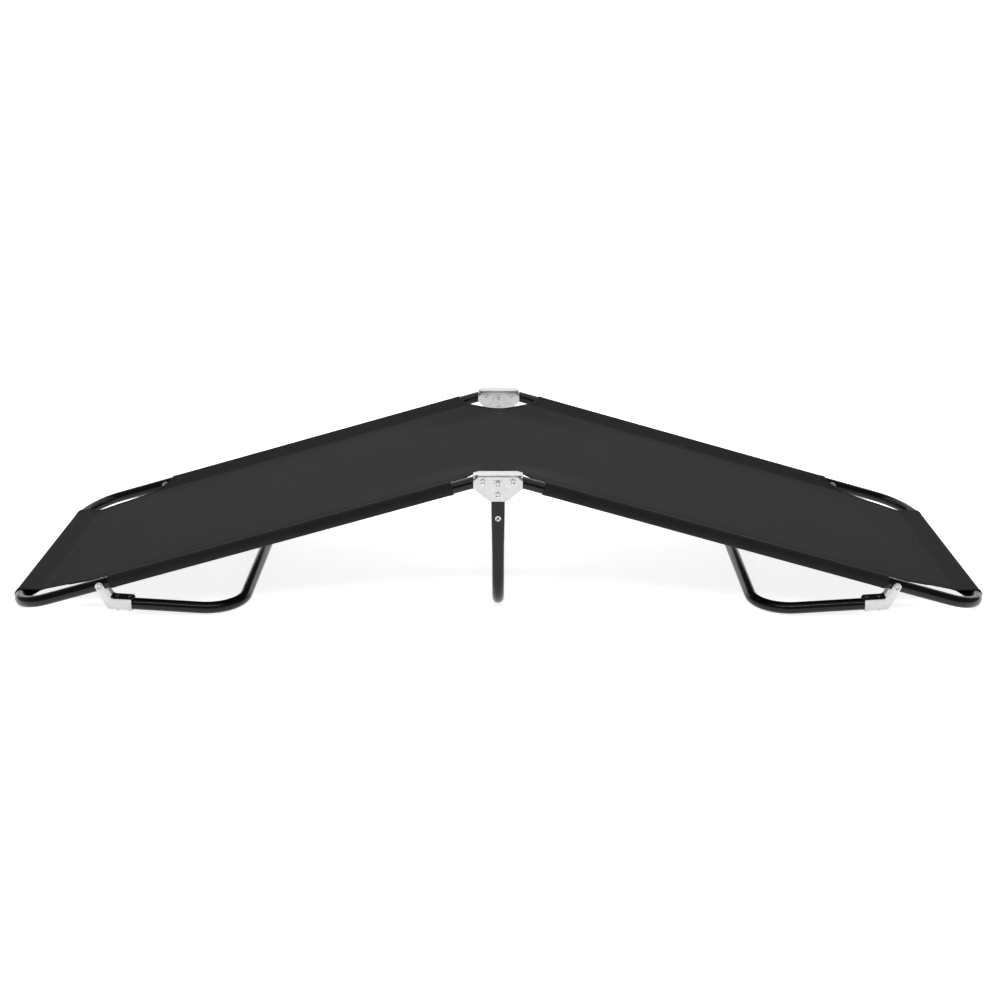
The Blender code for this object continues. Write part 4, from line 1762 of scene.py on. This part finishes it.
        # At the poles a face of three corners has its last one twice, which close() merges.
        quads = [list(face.vertices) for face in bead.data.polygons]
        quads = np.array([face if len(face) == 4 else face + face[-1:] for face in quads])
        Bench.discard(bead)
        size = np.array([self.stitch_long, self.stitch_thin, self.stitch_thin])
        corners = corners[:, [2, 0, 1]] * size
        points, faces, count = [], [], 0
        for line, height in self._stitch_lines():
            run = running_length(line)
            at = np.arange(0.5 * self.pitch, run[-1], self.pitch)
            flat = pick_along(line, run, at)
            heading = pick_along(line, run, at + self.look_ahead) - flat
            heading /= np.linalg.norm(heading, axis=1, keepdims=True) + 1e-12
            place, out, over, normal = self.shape.frames(flat[:, 0], flat[:, 1])
            shows = normal[:, 2] > self.lowest_normal
            tangent = out * heading[:, :1] + over * heading[:, 1:]
            tangent /= np.linalg.norm(tangent, axis=1, keepdims=True)
            side = np.cross(normal, tangent)
            place = place + normal * (height + self.stitch_proud)
            axes = np.stack([tangent, side, normal], axis=1)
            beads = (place[:, None] + np.einsum("vk,nkx->nvx", corners, axes))[shows]
            points.append(beads.reshape(-1, 3))
            shift = count + len(corners) * np.arange(len(beads))
            faces.append((quads[None] + shift[:, None, None]).reshape(-1, 4))
            count += len(corners) * len(beads)
        piece = self._mesh(
            f"{self.hand.label}_cloth_stitches", np.concatenate(points),
            np.concatenate(faces), None,
        )
        Bench.edit(piece)
        Bench.close(merge=1e-7)
        Bench.smooth(piece, 80)
        LOG.info("%s: %d stitches", piece.name, count // len(corners))
        return piece

    def build(self, finishes: Finishes) -> None:
        """Build the cloth with its hems and stitches, and dress them.

        Args:
            finishes: The cot's finishes.
        """
        label = self.hand.label
        sheet, area = self.sheet()
        trim = [self.hems(), self.stitches()]
        finishes.cloth.dress(sheet)
        finishes.cloth.dress(trim[0])
        finishes.thread.dress(trim[1])
        for piece in (sheet, *trim):
            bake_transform(piece)
            LOG.info("%s bends over the hinge: %d faces", piece.name, len(piece.data.polygons))
        nodes = [f"{label}_fabric"] + (["fabric_centre"] if self.hand is Hand.LEFT else [])
        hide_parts(*nodes)
        loop_run = self.shape.loop.points()[-1, 0]


# --- light and camera --------------------------------------------------------------------


@dataclass(frozen=True)
class Softbox:
    """A rectangular soft light: where it hangs, what it points at, its size and its watts."""

    name: str
    at: tuple[float, float, float]
    aim: tuple[float, float, float]
    size: tuple[float, float]
    power: float

    def hang(self) -> None:
        """Put the light in the scene."""
        lamp = bpy.data.lights.new(self.name, "AREA")
        lamp.shape = "RECTANGLE"
        lamp.size, lamp.size_y = self.size
        lamp.energy = self.power
        box = bpy.data.objects.new(self.name, lamp)
        box.location = self.at
        turn = (Vector(self.aim) - Vector(self.at)).to_track_quat("-Z", "Y")
        box.rotation_euler = turn.to_euler()
        bpy.context.collection.objects.link(box)


@dataclass
class Studio:
    """A pale sweep under soft lights, with the camera at three-quarter height in front."""

    camera_at: tuple[float, float, float] = (0.0073, -2.6718, 1.115)
    camera_turn: tuple[float, float, float] = (69.69, 0.0, 0.09)
    lens: float = 51.2
    sensor: float = 36
    sweep_r: float = 1.6
    sweep_half: tuple[float, float] = (6.0, 3.4)
    backdrop: float = 5
    paper: str = "#fafafa"
    paper_glow: float = 0.85
    fill: float = 0.12
    lights: tuple[Softbox, ...] = (
        Softbox("overhead", (0.0, 0.2, 2.6), (0.0, 0.0, 0.0), (3.2, 2.0), 26),
        Softbox("back_strip", (0.0, 1.5, 2.2), (0.0, 0.0, 0.2), (3.4, 0.14), 14),
        Softbox("front_strip", (0.0, -1.9, 2.3), (0.0, 0.0, 0.2), (3.0, 0.14), 18),
    )

    def build(self) -> None:
        """Set out the sweep, the lights, the world and the camera."""
        self._sweep()
        for light in self.lights:
            light.hang()
        self._world()
        lens = bpy.data.cameras.new("camera")
        lens.lens = self.lens
        lens.sensor_width = self.sensor
        camera = bpy.data.objects.new("camera", lens)
        camera.location = self.camera_at
        camera.rotation_euler = [math.radians(turn) for turn in self.camera_turn]
        bpy.context.collection.objects.link(camera)
        bpy.context.scene.camera = camera
        bpy.context.scene.view_settings.view_transform = "Standard"

    def _world(self) -> None:
        """White all round where it is seen, and a weak fill where it only lights."""
        world = bpy.context.scene.world or bpy.data.worlds.new("studio")
        bpy.context.scene.world = world
        world.use_nodes = True
        tree = world.node_tree
        tree.nodes.clear()
        seen = add_node(tree, "LightPath").outputs["Is Camera Ray"]
        strength = add_node(tree, "MapRange", {0: seen, 3: self.fill, 4: 1})
        glow = add_node(tree, "Background", {0: linear("#ffffff"), 1: strength.outputs[0]})
        add_node(tree, "OutputWorld", {0: glow.outputs[0]})

    def _sweep(self) -> None:
        """A floor that curves up behind into a backdrop."""
        wide, deep = self.sweep_half
        Bench.clear_selection()
        bpy.ops.mesh.primitive_plane_add(size=2)
        sweep = bpy.context.object
        sweep.name = "studio_sweep"
        sweep.data.transform(Matrix.Diagonal((wide, deep, 1, 1)))
        Bench.edit(sweep)
        Bench.pick(Element.EDGES, lambda at, _: at.y > 0.9 * deep)
        Bench.spin(math.pi / 2, 24, Vector((0, deep, self.sweep_r)), X_AXIS)
        Bench.extrude(self.backdrop * Z_AXIS)
        Bench.close()
        Bench.smooth(sweep)
        paper = bpy.data.materials.new("seamless_paper_sweep")
        paper.use_nodes = True
        inputs = paper.node_tree.nodes["Principled BSDF"].inputs
        inputs["Base Color"].default_value = linear(self.paper)
        inputs["Roughness"].default_value = 0.9
        inputs["Specular IOR Level"].default_value = 0.0
        inputs["Emission Color"].default_value = linear("#ffffff")
        inputs["Emission Strength"].default_value = self.paper_glow
        sweep.data.materials.append(paper)


def main() -> None:
    """Build, dress and light the cot."""
    logging.basicConfig(level=logging.INFO, format="%(name)s: %(message)s")
    layout = Layout.from_frame()
    finishes = Finishes()
    BedFrame(layout).build(finishes)
    CentreLeg(layout).build(finishes)
    HingeBracket(layout).build(finishes)
    EndLegs(layout).build(finishes)
    for hand in Hand:
        shape = ClothShape(layout, Loop(), phase=float(hand.value))
        Cloth(shape, hand).build(finishes)
    Studio().build()


if __name__ == "__main__":
    main()
